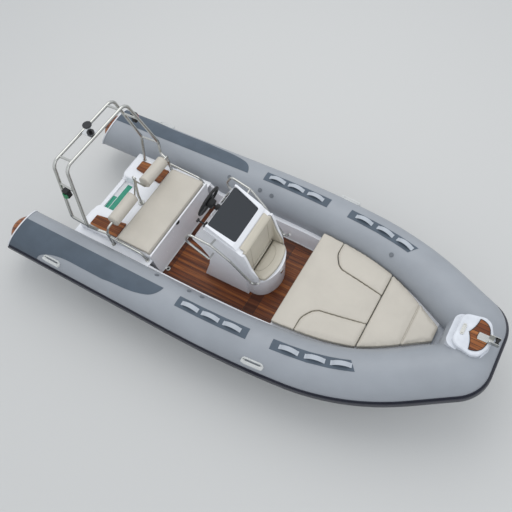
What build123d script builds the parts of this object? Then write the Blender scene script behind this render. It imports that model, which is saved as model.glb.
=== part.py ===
from build123d import *
import os
from math import cos, radians, sin, tan

# Rigid inflatable boat, 5.2 m.  Millimetres, +X forward, +Y to port, +Z up.
# The origin lies on the waterline, on the centreline, level with the middle of the buoyancy
# tubes' slanted after ends.

# ---------------------------------------------------------------- driving sizes
SEAT_FIT = 0.3            # running clearance between pieces that lie on a curved face

# Buoyancy tubes: corners of the port tube's axis, with the bend radius at each corner.
TUBE_R = 255.0
TUBE_Y = 889.0
TUBE_Z = 300.0
TUBE_START_X = -200.0     # the tubes are cut to slanted ends from here
END_RAKE = 30.5
BOW_BEND_R = 90.0
TUBE_AXIS = (             # x, y, z, bend radius
    (TUBE_START_X, TUBE_Y, TUBE_Z, 0.0),
    (2891.0, TUBE_Y, TUBE_Z, 11150.0),
    (4070.0, TUBE_Y - 120.0, TUBE_Z + 5.0, 2330.0),
    (4944.0, TUBE_Y - 641.0, TUBE_Z + 209.0, 0.0),
)

# Hull bottom: stations from the transom to the stem.
TRANSOM_X = 612.0
TRANSOM_T = 50.0
HULL_TOP = 130.0
CHINE_IN = 195.0          # chine, inboard of the tube's axis and below it
CHINE_DOWN = 258.0
SHELF_IN = 130.0          # edge of the hull's shelf, inside the tube's lower quarter
HULL_STATIONS = (         # x, keel z
    (TRANSOM_X, -235.0),
    (1800.0, -250.0),
    (2900.0, -250.0),
    (3600.0, -232.0),
    (4100.0, -165.0),
    (4480.0, -45.0),
    (4740.0, 95.0),
    (4895.0, 212.0),
)

# Decks and cockpit.
FLOOR_TEAK_T = 8.0
LINER_T = 7.0
SOLE_Z = 52.0             # top of the liner under the floor
FLOOR_Z = SOLE_Z + FLOOR_TEAK_T
SIDE_DECK_Z = 350.0
FLANGE_Z = 260.0          # top of the cockpit's side, forward of the seat
AFT_DECK_Z = 415.0
WELL_Z = 290.0
WELL_HALF = 235.0
WELL_END_X = 905.0
DECK_END_X = 600.0        # after edge of the aft deck
SEAT_X = 1166.0           # after edge of the seat, where its lid is hinged
SEAT_FRONT_X = 1665.0
SEAT_HALF = 556.0
RAIL_Y = SEAT_HALF + 22.0 # feet of the arch and of the seat rails
FLOOR_HALF = 545.0        # half width of the floor aft
FLOOR_IN = TUBE_Y - FLOOR_HALF
FLANGE_IN = 298.0         # top of the cockpit's side, inboard of the tube's axis
BOW_LOCKER_X = 3165.0
BOW_LOCKER_Z = 350.0
CUSHION_T = 62.0

# Cockpit furniture.
CONSOLE_AFT_X = 2132.0
CONSOLE_NOSE_X = 2965.0
WHEEL_R = 174.0
WHEEL_X = 2177.0
WHEEL_Z = 1088.0
WHEEL_TILT = 20.0
WHEEL_GRIP_R = 14.0
RAIL_R = 12.5
ARCH_R = 17.5


# ---------------------------------------------------------------- helpers
def mirror_y(shape):
    return mirror(shape, about=Plane.XZ)


def both(shape):
    return Compound(children=[*solids_of(shape), *solids_of(mirror_y(shape))])


def solids_of(shape):
    return list(shape.solids())


def fused(shapes):
    first, *rest = [s for shape in shapes for s in solids_of(shape)]
    return first.fuse(*rest).clean() if rest else first


def box(x0, x1, y0, y1, z0, z1):
    return Pos((x0 + x1) / 2, (y0 + y1) / 2, (z0 + z1) / 2) * Box(x1 - x0, y1 - y0, z1 - z0)


def prism_z(points, z0, z1):
    """A flat plan outline, raised from z0 to z1."""
    return Pos(0, 0, z0) * extrude(make_face(Polyline(*points, close=True)), z1 - z0)


def prism_y(points, half):
    """A side outline given as (x, z), of full width 2 * half about the centreline."""
    face = make_face(Plane.XZ * Polyline(*points, close=True))
    return extrude(face, half, both=True)


def corner_path(points):
    """Straight runs and tangent arcs through corners given as (x, y, z, bend radius)."""
    corners = [Vector(*p[:3]) for p in points]
    edges, here = [], corners[0]
    for before, at, after, (_, _, _, bend) in zip(corners, corners[1:], corners[2:], points[1:]):
        a, b = (at - before).normalized(), (after - at).normalized()
        turn = radians(a.get_angle(b))
        reach = bend * tan(turn / 2)
        start, end = at - a * reach, at + b * reach
        inward = (b - a).normalized()
        middle = at + inward * (bend / cos(turn / 2) - bend)
        edges += [Line(here, start), ThreePointArc(start, middle, end)]
        here = end
    return edges + [Line(here, corners[-1])]


def run_along(face, edges):
    """Carries a flat section along runs and arcs, each made exactly."""
    pieces = []
    for edge in edges:
        if edge.geom_type == GeomType.LINE:
            move = edge.position_at(1) - edge.position_at(0)
            pieces.append(extrude(face, amount=move.length, dir=move.normalized()))
            face = Pos(*move) * face
        else:
            centre = edge.arc_center
            axis = Axis(centre, (edge.position_at(0) - centre).cross(edge.tangent_at(0)))
            start, end = (edge.position_at(t) - centre for t in (0, 1))
            turn = start.get_angle(end)
            pieces.append(revolve(face, axis, turn))
            face = face.rotate(axis, turn)
    return fused(pieces)


def pipe(points, radius):
    """A round bar or tube through corners (x, y, z, bend radius)."""
    edges = corner_path(points)
    start = Plane(origin=edges[0].position_at(0), z_dir=edges[0].tangent_at(0))
    return run_along(start * Circle(radius), edges)


# ---------------------------------------------------------------- buoyancy tubes
TUBE_EDGES = corner_path(TUBE_AXIS)
BOW_CORNER = Vector(*TUBE_AXIS[-1][:3])
BOW_RUN = (BOW_CORNER - Vector(*TUBE_AXIS[-2][:3])).normalized()
MITRE = Plane(origin=BOW_CORNER, z_dir=(BOW_RUN + Vector(0, -1, 0)).normalized())
OVERRUN = 3 * TUBE_R
ACROSS = Vector(0, -1, 0)
BOW_TURN = BOW_RUN.get_angle(ACROSS)
BOW_INWARD = (ACROSS - BOW_RUN).normalized()
BEND_CENTRE = BOW_CORNER + BOW_INWARD * (BOW_BEND_R / cos(radians(BOW_TURN / 2)))
BEND_AXIS = Axis(BEND_CENTRE, BOW_RUN.cross(ACROSS))
SIDE_END = Plane(origin=BEND_CENTRE, z_dir=BOW_RUN)
BOW_START = Plane(origin=BEND_CENTRE, z_dir=ACROSS)
OUTER_HALF = Plane(origin=BEND_CENTRE, z_dir=(ACROSS - BOW_RUN * ACROSS.dot(BOW_RUN)).normalized())
RAKE_DIR = Vector(cos(radians(END_RAKE)), 0, -sin(radians(END_RAKE)))
END_PLANE = Plane(origin=(0, TUBE_Y, TUBE_Z), x_dir=(0, 1, 0), z_dir=RAKE_DIR)


def side_edges():
    """The port tube's axis, run on past the bow's mitre."""
    return [*TUBE_EDGES[:-1], Line(TUBE_EDGES[-1].position_at(0), BOW_CORNER + BOW_RUN * OVERRUN)]


def side_run(face):
    """A section carried along the port tube from its slanted end to the bow's corner."""
    shape = run_along(face, side_edges())
    shape = split(shape, bisect_by=MITRE, keep=Keep.BOTTOM)
    shape = split(shape, bisect_by=SIDE_END, keep=Keep.BOTTOM)
    return split(shape, bisect_by=END_PLANE, keep=Keep.TOP)


def axis_at(x):
    """The port tube's axis point and heading at a station."""
    for edge in side_edges():
        low, high = 0.0, 1.0
        if edge.position_at(1).X < x:
            continue
        for _ in range(30):
            mid = (low + high) / 2
            low, high = (mid, high) if edge.position_at(mid).X < x else (low, mid)
        return edge.position_at(low), edge.tangent_at(low)
    return BOW_CORNER, BOW_RUN


def band(angle_0, angle_1, r_0, r_1):
    """Part of a ring round the port tube's axis at its after end; 0 degrees is outboard, 90 is up."""
    def at(r, a):
        return (TUBE_Y + r * cos(radians(a)), TUBE_Z + r * sin(radians(a)))
    mid = (angle_0 + angle_1) / 2
    lines = [
        ThreePointArc(at(r_0, angle_0), at(r_0, mid), at(r_0, angle_1)),
        Line(at(r_0, angle_1), at(r_1, angle_1)),
        ThreePointArc(at(r_1, angle_1), at(r_1, mid), at(r_1, angle_0)),
        Line(at(r_1, angle_0), at(r_0, angle_0)),
    ]
    return Pos(TUBE_START_X, 0, 0) * make_face(Plane.YZ * Curve(children=lines))


def bow_section(face):
    """The section of a side run, carried to the bow's corner."""
    for edge in TUBE_EDGES:
        if edge.geom_type == GeomType.LINE:
            step = edge.position_at(1) - edge.position_at(0)
            face = Pos(*step) * face
        else:
            centre = edge.arc_center
            axis = Axis(centre, (edge.position_at(0) - centre).cross(edge.tangent_at(0)))
            start, end = (edge.position_at(t) - centre for t in (0, 1))
            face = face.rotate(axis, start.get_angle(end))
    return face


def bow_run(face):
    """The same section carried across the bow, with a rounded corner at each side."""
    side_section = bow_section(face)
    section = mirror(side_section, about=MITRE)
    across = 2 * BOW_CORNER.Y + 2 * OVERRUN
    whole = extrude(Pos(0, OVERRUN, 0) * section, amount=across, dir=(0, -1, 0))
    for _ in range(2):
        whole = split(whole, bisect_by=MITRE, keep=Keep.TOP)
        whole = mirror_y(split(whole, bisect_by=BOW_START, keep=Keep.TOP))
    at_bend = Pos(*(BOW_RUN * -BOW_BEND_R * tan(radians(BOW_TURN / 2)))) * side_section
    outer = split(at_bend, bisect_by=OUTER_HALF, keep=Keep.BOTTOM)
    corner = revolve(outer, BEND_AXIS, BOW_TURN)
    return fused([whole, corner, mirror_y(corner)])


def tube_section(radius):
    return Plane(origin=(TUBE_START_X, TUBE_Y, TUBE_Z), z_dir=(1, 0, 0)) * Circle(radius)


def tubes(radius):
    port = side_run(tube_section(radius))
    return port, mirror_y(port), bow_run(tube_section(radius))


def on_tube(x, angle, reach=0.0):
    """A plane on the port tube's skin: x along the tube, z outward."""
    centre, ahead = axis_at(x)
    outboard = Vector(0, 0, 1).cross(ahead).normalized()
    up = ahead.cross(outboard)
    out = outboard * cos(radians(angle)) + up * sin(radians(angle))
    return Plane(origin=centre + out * (TUBE_R + reach), x_dir=ahead, z_dir=out)


def along_tube(rows, half):
    """A plan outline that follows the port tube: rows of (outboard x, inboard x)."""
    def beside(x, reach):
        centre, ahead = axis_at(x)
        side = Vector(-ahead.Y, ahead.X, 0).normalized() * reach
        return centre.X + side.X, centre.Y + side.Y
    left = [beside(x, half) for x, _ in rows]
    right = [beside(x, -half) for _, x in rows]
    return prism_z(left + right[::-1], 0.0, 1000.0)


PORT_TUBE, STARBOARD_TUBE, BOW_TUBE = tubes(TUBE_R)
CLEAR_OF_TUBES = tubes(TUBE_R + SEAT_FIT)


def beside_tubes(shape):
    """Cuts a shape so that it lies on all the tubes."""
    for tube in CLEAR_OF_TUBES:
        shape = shape - tube
    return Compound(children=solids_of(shape))


PARTS = {
    "port_tube": PORT_TUBE,
    "starboard_tube": STARBOARD_TUBE,
    "bow_tube": BOW_TUBE,
}

# ---------------------------------------------------------------- tube fittings
RING_L = 14.0
RING_OUT = 262.0
CAP_R = 240.0
DOME_R = 180.0
DOME_RISE = 100.0
STRAKE = (                # angle, radius: base strip, rib, base strip
    (-16.0, 8.0), (9.0, 8.0), (4.5, 22.0), (-11.0, 22.0),
)
PAD_T = 2.5
STERN_PAD_X = 2064.0
STRAP_PADS = (            # rows of (outboard x, inboard x) along the tube, then the half width
    (((2272, 2272), (2550, 2550), (2800, 2800), (3085, 3085)), 58.0),
    (((3335, 3335), (3500, 3500), (3700, 3700), (3900, 3900), (4000, 4000), (4125, 4085)), 54.0),
)
STRAP_L = 198.0
STRAP_W = 46.0
STRAP_T = 4.0
STRAP_RISE = 30.0
STRAP_LIFT = 1.2
LAST_STRAP_LIFT = 1.8     # the foremost lies where the tube bends most
STRAP_X = (2430.0, 2669.0, 2915.0, 3514.0, 3780.0, 4029.0)
HANDLE_X = (705.0, 3228.0)
HANDLE_ANGLE = 33.0
HANDLE_L = 236.0
HANDLE_W = 78.0
VALVES = ((1883.0, 130.0), (2291.0, 131.0), (2447.0, 133.0))  # x, angle
PORT_VALVE = (3990.0, 128.0)



def slanted(radius, start, end):
    """A length of the tube's own cylinder between two planes along the slanted end."""
    bar = extrude(Plane(origin=(-700, TUBE_Y, TUBE_Z), z_dir=(1, 0, 0)) * Circle(radius), 1200)
    bar = split(bar, bisect_by=END_PLANE.offset(start), keep=Keep.TOP)
    return split(bar, bisect_by=END_PLANE.offset(end), keep=Keep.BOTTOM)


end_ring = slanted(RING_OUT, -RING_L, 0) - slanted(CAP_R + SEAT_FIT, -2 * RING_L, RING_L)
PARTS["tube_end_rings"] = both(end_ring)
dome_round = (DOME_R ** 2 + DOME_RISE ** 2) / (2 * DOME_RISE)
dome = END_PLANE.offset(-RING_L - DOME_RISE + dome_round) * Sphere(dome_round)
dome &= extrude(END_PLANE.offset(-RING_L / 2) * Circle(DOME_R + RING_L), -2 * DOME_RISE)
PARTS["tube_end_caps"] = both(fused([slanted(CAP_R, -RING_L, 0), dome]))


def ring_point(angle, radius):
    return (TUBE_Y + radius * cos(radians(angle)), TUBE_Z + radius * sin(radians(angle)))


def ring_arc(angle_0, angle_1, radius):
    return ThreePointArc(*[ring_point(a, radius) for a in (angle_0, (angle_0 + angle_1) / 2, angle_1)])


(low, strip_t), (high, _), (rib_high, rib_t), (rib_low, _) = STRAKE
r0, r1, r2 = TUBE_R + SEAT_FIT, TUBE_R + strip_t, TUBE_R + rib_t
strake_face = Pos(TUBE_START_X, 0, 0) * make_face(Plane.YZ * Curve(children=[
    ring_arc(low, high, r0),
    Line(ring_point(high, r0), ring_point(high, r1)),
    ring_arc(high, rib_high, r1),
    Line(ring_point(rib_high, r1), ring_point(rib_high, r2)),
    ring_arc(rib_high, rib_low, r2),
    Line(ring_point(rib_low, r2), ring_point(rib_low, r1)),
    ring_arc(rib_low, low, r1),
    Line(ring_point(low, r1), ring_point(low, r0)),
]))
strake_side = side_run(strake_face)
PARTS["rub_strake"] = fused([strake_side, bow_run(strake_face), mirror_y(strake_side)])

stern_pad = extrude(band(high + 0.5, 102, r0, r0 + PAD_T), STERN_PAD_X - TUBE_START_X, dir=(1, 0, 0))
stern_pad = split(stern_pad, bisect_by=END_PLANE, keep=Keep.TOP)
handle_bay = make_face(Plane.XZ * Curve(children=[
    Spline((455, 290), (462, 350), (505, 415), (585, 462), (694, 490), (900, 508), (1100, 508)),
    Polyline((1100, 508), (2100, 508), (2100, 290), (455, 290)),
]))
stern_pad -= extrude(handle_bay, 2 * TUBE_Y, both=True)
point_cut = make_face(Curve(children=[
    Spline((1400, 1041), (1720, 1020), (1900, 990), (1990, 955), (2040, 905), (2064, 838)),
    Polyline((2064, 838), (2100, 838), (2100, 1200), (1400, 1200), (1400, 1041)),
]))
stern_pad -= extrude(Pos(0, 0, 200) * point_cut, 500)
PARTS["stern_pads"] = both(fused([max(stern_pad.solids(), key=lambda s: s.volume)]))

top_band = side_run(band(74, 108, r0, r0 + PAD_T))
strap_pads = [top_band & along_tube(rows, half) for rows, half in STRAP_PADS]
PARTS["strap_pads"] = both(Compound(children=[s for pad in strap_pads for s in solids_of(pad)]))


def on_skin(shape, reach):
    """Hollows the underside of a small fitting to lie on the tube, in the planes that on_tube gives."""
    return shape - Pos(0, 0, -TUBE_R - reach) * Rot(0, 90, 0) * Cylinder(TUBE_R + reach, 600)


STRAP_FOOT = 14.0
half_l = STRAP_L / 2
strap_face = make_face(Curve(children=[
    Line((-half_l, -8), (-half_l, STRAP_T)),
    Line((-half_l, STRAP_T), (STRAP_FOOT - half_l, STRAP_T)),
    ThreePointArc((STRAP_FOOT - half_l, STRAP_T), (0, STRAP_RISE + STRAP_T),
                  (half_l - STRAP_FOOT, STRAP_T)),
    Line((half_l - STRAP_FOOT, STRAP_T), (half_l, STRAP_T)),
    Line((half_l, STRAP_T), (half_l, -8)),
    Line((half_l, -8), (half_l - STRAP_FOOT, -8)),
    Line((half_l - STRAP_FOOT, -8), (half_l - STRAP_FOOT, 0)),
    ThreePointArc((half_l - STRAP_FOOT, 0), (0, STRAP_RISE), (STRAP_FOOT - half_l, 0)),
    Line((STRAP_FOOT - half_l, 0), (STRAP_FOOT - half_l, -8)),
    Line((STRAP_FOOT - half_l, -8), (-half_l, -8)),
]))
strap = on_skin(extrude(Plane.XZ * strap_face, STRAP_W / 2, both=True), 0)
straps = [on_tube(x, 90, PAD_T + STRAP_LIFT) * strap for x in STRAP_X[:-1]]
straps.append(on_tube(STRAP_X[-1], 90, PAD_T + LAST_STRAP_LIFT) * strap)
PARTS["strap_loops"] = both(Compound(children=[s for one in straps for s in solids_of(one)]))

handle_base = extrude(SlotOverall(HANDLE_L, HANDLE_W), 26)
handle_base -= Pos(0, 0, 14) * extrude(SlotOverall(HANDLE_L - 22, HANDLE_W - 22), 20)
handle_base -= Pos(0, 0, -1) * extrude(SlotOverall(HANDLE_L - 70, HANDLE_W - 34), 40)
grip = extrude(SlotOverall(HANDLE_L - 8, 26), 10)
handle = Pos(0, 0, -14) * handle_base + Pos(0, 0, 22) * grip
handle += [Pos(s * (HANDLE_L / 2 - 22), 0, 0) * extrude(SlotOverall(36, 26), 24) for s in (-1, 1)]
handle = on_skin(fused([handle]), SEAT_FIT)
handles = [on_tube(x, HANDLE_ANGLE) * handle for x in HANDLE_X]
PARTS["grab_handles"] = both(Compound(children=[s for one in handles for s in solids_of(one)]))

valve = on_skin(Pos(0, 0, -6) * extrude(Circle(25), 10) + Pos(0, 0, 4) * extrude(Circle(15), 3), SEAT_FIT)
valves = [on_tube(x, a, SEAT_FIT) * valve for x, a in VALVES]
port_valves = [*valves, on_tube(*PORT_VALVE, SEAT_FIT) * valve]
starboard_valves = [mirror_y(one) for one in valves]
both_sides = (*port_valves, *starboard_valves)
PARTS["air_valves"] = Compound(children=[s for one in both_sides for s in solids_of(one)])


# ---------------------------------------------------------------- hull, decks and cockpit
def flat_section(x, points):
    """A closed outline at one station, given as (y, z)."""
    return make_face(Polyline(*[(x, y, z) for y, z in points], close=True))


def ruled(sections):
    return loft(sections, ruled=True)


def hull_outline(x, keel):
    axis, ahead = axis_at(x)
    widen = 1 / Vector(ahead.X, ahead.Y, 0).normalized().X
    chine_y, chine_z = axis.Y - CHINE_IN * widen, axis.Z - CHINE_DOWN
    edge_y, edge_z = axis.Y - SHELF_IN * widen, axis.Z - (TUBE_Z - HULL_TOP)
    return [(0, keel), (chine_y, chine_z), (edge_y, edge_z), (-edge_y, edge_z), (-chine_y, chine_z)]


def widths(x, inboard):
    return axis_at(x)[0].Y - inboard


WALL_LEAN = (FLOOR_IN - FLANGE_IN) / (FLANGE_Z - SOLE_Z)
LINER_END_X = BOW_LOCKER_X + LINER_T
COCKPIT_X = (1800.0, 2300.0, 2891.0)


def cockpit_section(x, outward, z_0, z_1):
    """The cockpit's cross-section between two heights, its sides leaning outward as they rise."""
    low = widths(x, FLOOR_IN) + outward + WALL_LEAN * (z_0 - SOLE_Z)
    high = low + WALL_LEAN * (z_1 - z_0)
    return flat_section(x, [(-low, z_0), (low, z_0), (high, z_1), (-high, z_1)])


liner_x = (SEAT_X, *COCKPIT_X, LINER_END_X)
recess = ruled([cockpit_section(x, LINER_T, SOLE_Z - LINER_T, HULL_TOP + 10) for x in liner_x])
hull = ruled([flat_section(x, hull_outline(x, keel)) for x, keel in HULL_STATIONS]) - recess
PARTS["hull"] = beside_tubes(hull)

TRANSOM_TOP = 308.0
DECK_SHELF_Z = 320.0
TRANSOM_HALF = 240.0      # half width of the engine's cut-out
transom = box(TRANSOM_X, TRANSOM_X + TRANSOM_T, -760, 760, HULL_TOP, DECK_SHELF_Z)
transom -= box(TRANSOM_X - 1, TRANSOM_X + TRANSOM_T + 1, -TRANSOM_HALF, TRANSOM_HALF, TRANSOM_TOP, 400)
PARTS["transom"] = beside_tubes(transom)

DECK_HALF = 560.0         # half width of the raised after deck
DECK_CORNER = 95.0
shelf_half = box(DECK_END_X, SEAT_X - 1, TRANSOM_HALF, 700, DECK_SHELF_Z, SIDE_DECK_Z)
shelf_corner = shelf_half.edges().filter_by(Axis.Z).sort_by_distance((DECK_END_X, TRANSOM_HALF, 330))[:1]
shelf_half = fillet(shelf_corner, DECK_CORNER)
raised_half = box(655, SEAT_X - 1, WELL_HALF, DECK_HALF, SIDE_DECK_Z, AFT_DECK_Z)
raised_half = fillet(raised_half.edges().filter_by(Axis.Z).sort_by_distance((655, WELL_HALF, 400))[:1], 60)
raised_half = fillet(raised_half.edges().group_by(Axis.Z)[-1], 14)
under_deck = box(TRANSOM_X + TRANSOM_T, SEAT_X - 1, -700, 700, HULL_TOP, SIDE_DECK_Z)
under_deck -= box(600, WELL_END_X, -WELL_HALF, WELL_HALF, WELL_Z, 500)
across = box(WELL_END_X, SEAT_X - 1, -WELL_HALF - 30, WELL_HALF + 30, SIDE_DECK_Z, AFT_DECK_Z)
aft_deck = fused([under_deck, shelf_half, mirror_y(shelf_half), raised_half, mirror_y(raised_half), across])
PARTS["aft_deck"] = beside_tubes(aft_deck)

STEP_T = 15.0
step_board = prism_z([(762, 378), (1149, 322), (1149, 526), (762, 512)], AFT_DECK_Z, AFT_DECK_Z + STEP_T)
step_board = fillet(step_board.edges().filter_by(Axis.Z), 12)

RAMP_X = (1660.0, 1790.0) # where the cockpit's side drops to its low part
liner = ruled([
    flat_section(x, [(-widths(x, 100), HULL_TOP), (widths(x, 100), HULL_TOP),
                     (widths(x, 100), SIDE_DECK_Z), (-widths(x, 100), SIDE_DECK_Z)])
    for x in liner_x])
liner -= prism_y([(RAMP_X[0], SIDE_DECK_Z), (RAMP_X[1], FLANGE_Z), (BOW_LOCKER_X, FLANGE_Z),
                  (BOW_LOCKER_X, SIDE_DECK_Z + 20), (RAMP_X[0], SIDE_DECK_Z + 20)], 1000)
cavity_x = (SEAT_X - 1, *COCKPIT_X, BOW_LOCKER_X)
cavity = ruled([cockpit_section(x, 0, SOLE_Z, SIDE_DECK_Z + 30) for x in cavity_x])
PARTS["cockpit_liner"] = beside_tubes(fused([liner, recess]) - cavity - PARTS["hull"].solids()[0])

FLOOR_START_X = 1683.0
floor_edge = [(x, widths(x, FLOOR_IN) - 2) for x in (FLOOR_START_X, *COCKPIT_X, BOW_LOCKER_X - 1)]
PARTS["floor_teak"] = prism_z([*floor_edge, *[(x, -y) for x, y in floor_edge[::-1]]], SOLE_Z, FLOOR_Z)

# ---------------------------------------------------------------- after seat
SEAT_TOP_Z = 415.0
SEAT_WALL = 12.0
LID_T = 12.0
SEAT_PAD_T = 58.0
SEAT_PAD_HALF = SEAT_HALF - 14.0
SEAT_LIP_Z = 451.0
LIP_T = 22.0
SEAT_LOW_HALF = 529.0     # half width of the seat box at the sole
SEAT_LEAN = 14.0          # how far its front leans aft
SEAT_BOX_Z = 403.0
BARREL_R = 5.0            # hinge barrels
BARREL_FIT = 0.6


def seat_shell(inset, x_0, z_0, z_1):
    """The seat box's outline, narrower at the floor; its front leans aft as it rises."""
    def station(z):
        t = (z - SOLE_Z) / (SEAT_BOX_Z - SOLE_Z)
        half = SEAT_LOW_HALF + t * (SEAT_HALF - SEAT_LOW_HALF) - inset
        front = SEAT_FRONT_X + (1 - t) * SEAT_LEAN - inset
        return Pos(0, 0, z) * make_face(Polyline(
            (x_0, -half), (front, -half), (front, half), (x_0, half), close=True))
    return ruled([station(z_0), station(z_1)])


seat_box = seat_shell(0, SEAT_X, SOLE_Z, SEAT_BOX_Z)
seat_box -= seat_shell(SEAT_WALL, SEAT_X + SEAT_WALL, SOLE_Z + SEAT_WALL, SEAT_BOX_Z + 1)
seat_rim = box(SEAT_X, SEAT_FRONT_X, -SEAT_HALF, SEAT_HALF, SEAT_BOX_Z, SEAT_TOP_Z)
seat_rim -= box(SEAT_X + 40, SEAT_FRONT_X - 45, -SEAT_HALF + 40, SEAT_HALF - 40, 400, 420)
apron = box(SEAT_X, RAMP_X[0], SEAT_HALF - 16, SEAT_HALF + 104, SIDE_DECK_Z, SIDE_DECK_Z + 12)
apron -= seat_shell(2, SEAT_X - 5, SOLE_Z, SEAT_BOX_Z)
hinge_line = Pos(SEAT_X, 0, SEAT_TOP_Z) * Rot(90, 0, 0)
seat_groove = hinge_line * Cylinder(BARREL_R + BARREL_FIT, 3 * SEAT_HALF)
PARTS["seat_box"] = beside_tubes(fused([seat_box, seat_rim, apron, mirror_y(apron)]) - seat_groove)
PARTS["aft_deck"] = Compound(children=solids_of(PARTS["aft_deck"].solids()[0] - seat_groove))

seat_lid = box(SEAT_X, SEAT_FRONT_X, -SEAT_HALF, SEAT_HALF, SEAT_TOP_Z + SEAT_FIT, SEAT_TOP_Z + LID_T)
lip = box(SEAT_FRONT_X - LIP_T, SEAT_FRONT_X, -SEAT_HALF, SEAT_HALF, SEAT_TOP_Z + LID_T, SEAT_LIP_Z)
lip = fillet(lip.edges().filter_by(Axis.Y).group_by(Axis.Z)[-1], 8)
PARTS["seat_lid"] = fused([seat_lid, lip, hinge_line * Cylinder(BARREL_R, 2 * SEAT_HALF)])

pad_z = SEAT_TOP_Z + LID_T
seat_pad = box(SEAT_X + 6, SEAT_FRONT_X - LIP_T - 3, -SEAT_PAD_HALF, SEAT_PAD_HALF,
               pad_z, pad_z + SEAT_PAD_T)
seat_pad = chamfer(seat_pad.edges().filter_by(Axis.Y).group_by(Axis.Z)[-1].sort_by(Axis.X)[:1], 35)
seat_pad = fillet(seat_pad.edges().filter_by(Axis.Y).group_by(Axis.Z)[-1].sort_by(Axis.X)[-1:], 22)
PARTS["seat_cushion"] = seat_pad
PARTS["seat_latch"] = fused([
    box(SEAT_FRONT_X, SEAT_FRONT_X + 5, -72, -16, 419, 449),
    box(SEAT_FRONT_X + 5, SEAT_FRONT_X + 13, -58, -30, 422, 446)])

# ---------------------------------------------------------------- arch and its lights
ARCH_REAR = ((768, 541, AFT_DECK_Z, 0), (745, 640, 720, 130), (690, 488, 1413, 95))
ARCH_FRONT = ((1134, RAIL_Y, SIDE_DECK_Z, 0), (1131, RAIL_Y, 566, 40), (1022, 600, 590, 55),
              (975, 658, 723, 110), (870, 488, 1426, 95))
BAR_R = 12.5


def hoop(leg):
    other = [(x, -y, z, r) for x, y, z, r in reversed(leg)]
    return pipe((*leg, *other), ARCH_R)


bars = [
    pipe(((690, 389, 1413, 0), (870, 389, 1426, 0)), BAR_R),
    pipe(((709.5, 542, 1167, 0), (910, 553, 1158, 0)), BAR_R),
    pipe(((746, 637, 722, 0), (978, 649.5, 724, 0)), BAR_R),
]


def footed_hoop(leg):
    x, y, z, _ = leg[0]
    flange = Pos(x, y, z + 4) * Cylinder(24, 8)
    return fused([hoop(leg), flange, mirror_y(flange)]) - PARTS["aft_deck"].solids()[0]


PARTS["arch"] = footed_hoop(ARCH_FRONT)
PARTS["arch_after_hoop"] = footed_hoop(ARCH_REAR)
between_hoops = [bar - PARTS["arch"] - PARTS["arch_after_hoop"] for bar in bars]
PARTS["arch_bars"] = both(Compound(children=[
    max(bar.solids(), key=lambda s: s.volume) for bar in between_hoops]))
PARTS["step_teak"] = both(step_board - Pos(768, 541, AFT_DECK_Z) * Cylinder(25, 60))

SEAT_RAIL = ((1131, RAIL_Y, 505, 0), (1556, RAIL_Y, 462, 60), (1612, RAIL_Y, SIDE_DECK_Z + 12, 0))
seat_rail = fused([pipe(SEAT_RAIL, RAIL_R), Pos(1612, RAIL_Y, SIDE_DECK_Z + 16) * Cylinder(22, 8)])
seat_rail = seat_rail - PARTS["arch"] - PARTS["seat_box"].solids()[0]
PARTS["seat_rails"] = both(max(seat_rail.solids(), key=lambda s: s.volume))

LIGHT_Z = 1162.0
light_box = box(788, 852, 552, 618, LIGHT_Z - 92, LIGHT_Z + 4)
light_box = fillet(light_box.edges().filter_by(Axis.Z), 14)
light_box -= pipe(((700, 541.5, 1167.4, 0), (910, 553, 1158, 0)), BAR_R + SEAT_FIT)
PARTS["port_sidelight"] = light_box
PARTS["starboard_sidelight"] = mirror_y(light_box)

LAMP_X = 793.0
lamp_plate = box(LAMP_X - 85, LAMP_X + 60, -48, 48, 1417, 1423)
lamp_plate -= pipe(((690, -100, 1413, 0), (690, 100, 1413, 0)), ARCH_R + SEAT_FIT)
lamp_plate -= pipe(((870, -100, 1426, 0), (870, 100, 1426, 0)), ARCH_R + SEAT_FIT)
lamp = [Pos(LAMP_X, 0, 1431) * Cylinder(40, 16), Pos(LAMP_X, 0, 1470) * Cylinder(17, 64),
        Pos(LAMP_X, 0, 1516) * Cylinder(30, 30), Pos(LAMP_X, 0, 1536) * Cylinder(48, 12)]
PARTS["all_round_light"] = fused([lamp_plate, *lamp])

# ---------------------------------------------------------------- bolsters and tow post
BOLSTER_R = 75.0
BOLSTER_ENDS = ((1168, 96, 694), (1163, 480, 676))
POST_X = 1118.0
BRACKET = ((1164, 440, 678, 0), (1161, 556, 672, 30), (1131, RAIL_Y, 574, 0))
BOLSTER_ARM = ((1168, 150, 640, 0), (1168, 96, 634, 22), (1163, 6, 838, 0))
ARM_R = 9.0
POST_R = 16.0
EYE_R = 13.0


def rod(start, end, radius):
    a, b = Vector(*start), Vector(*end)
    return extrude(Plane(origin=a, z_dir=(b - a).normalized()) * Circle(radius), (b - a).length)


bracket = max((pipe(BRACKET, RAIL_R) - PARTS["arch"]).solids(), key=lambda s: s.volume)
bolster = rod(*BOLSTER_ENDS, BOLSTER_R)
bolster = fillet(bolster.edges(), 16) - pipe(BRACKET, RAIL_R + SEAT_FIT)
bolster -= pipe(BOLSTER_ARM, ARM_R + SEAT_FIT)
PARTS["port_bolster"] = bolster
PARTS["starboard_bolster"] = mirror_y(bolster)
PARTS["bolster_brackets"] = both(bracket)
post = pipe(((POST_X, 0, AFT_DECK_Z, 0), (POST_X, 0, 560, 120), (1170, 0, 880, 0)), POST_R)
post_foot = Pos(POST_X, 0, AFT_DECK_Z + 5) * Cylinder(38, 10)
TOW_RING = (1173.0, 0.0, 897.0)
eye = Pos(*TOW_RING) * Rot(90, 0, 0) * Cylinder(2 * EYE_R, 14)
PARTS["bolster_arms"] = both(max((pipe(BOLSTER_ARM, ARM_R) - post).solids(), key=lambda s: s.volume))
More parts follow.
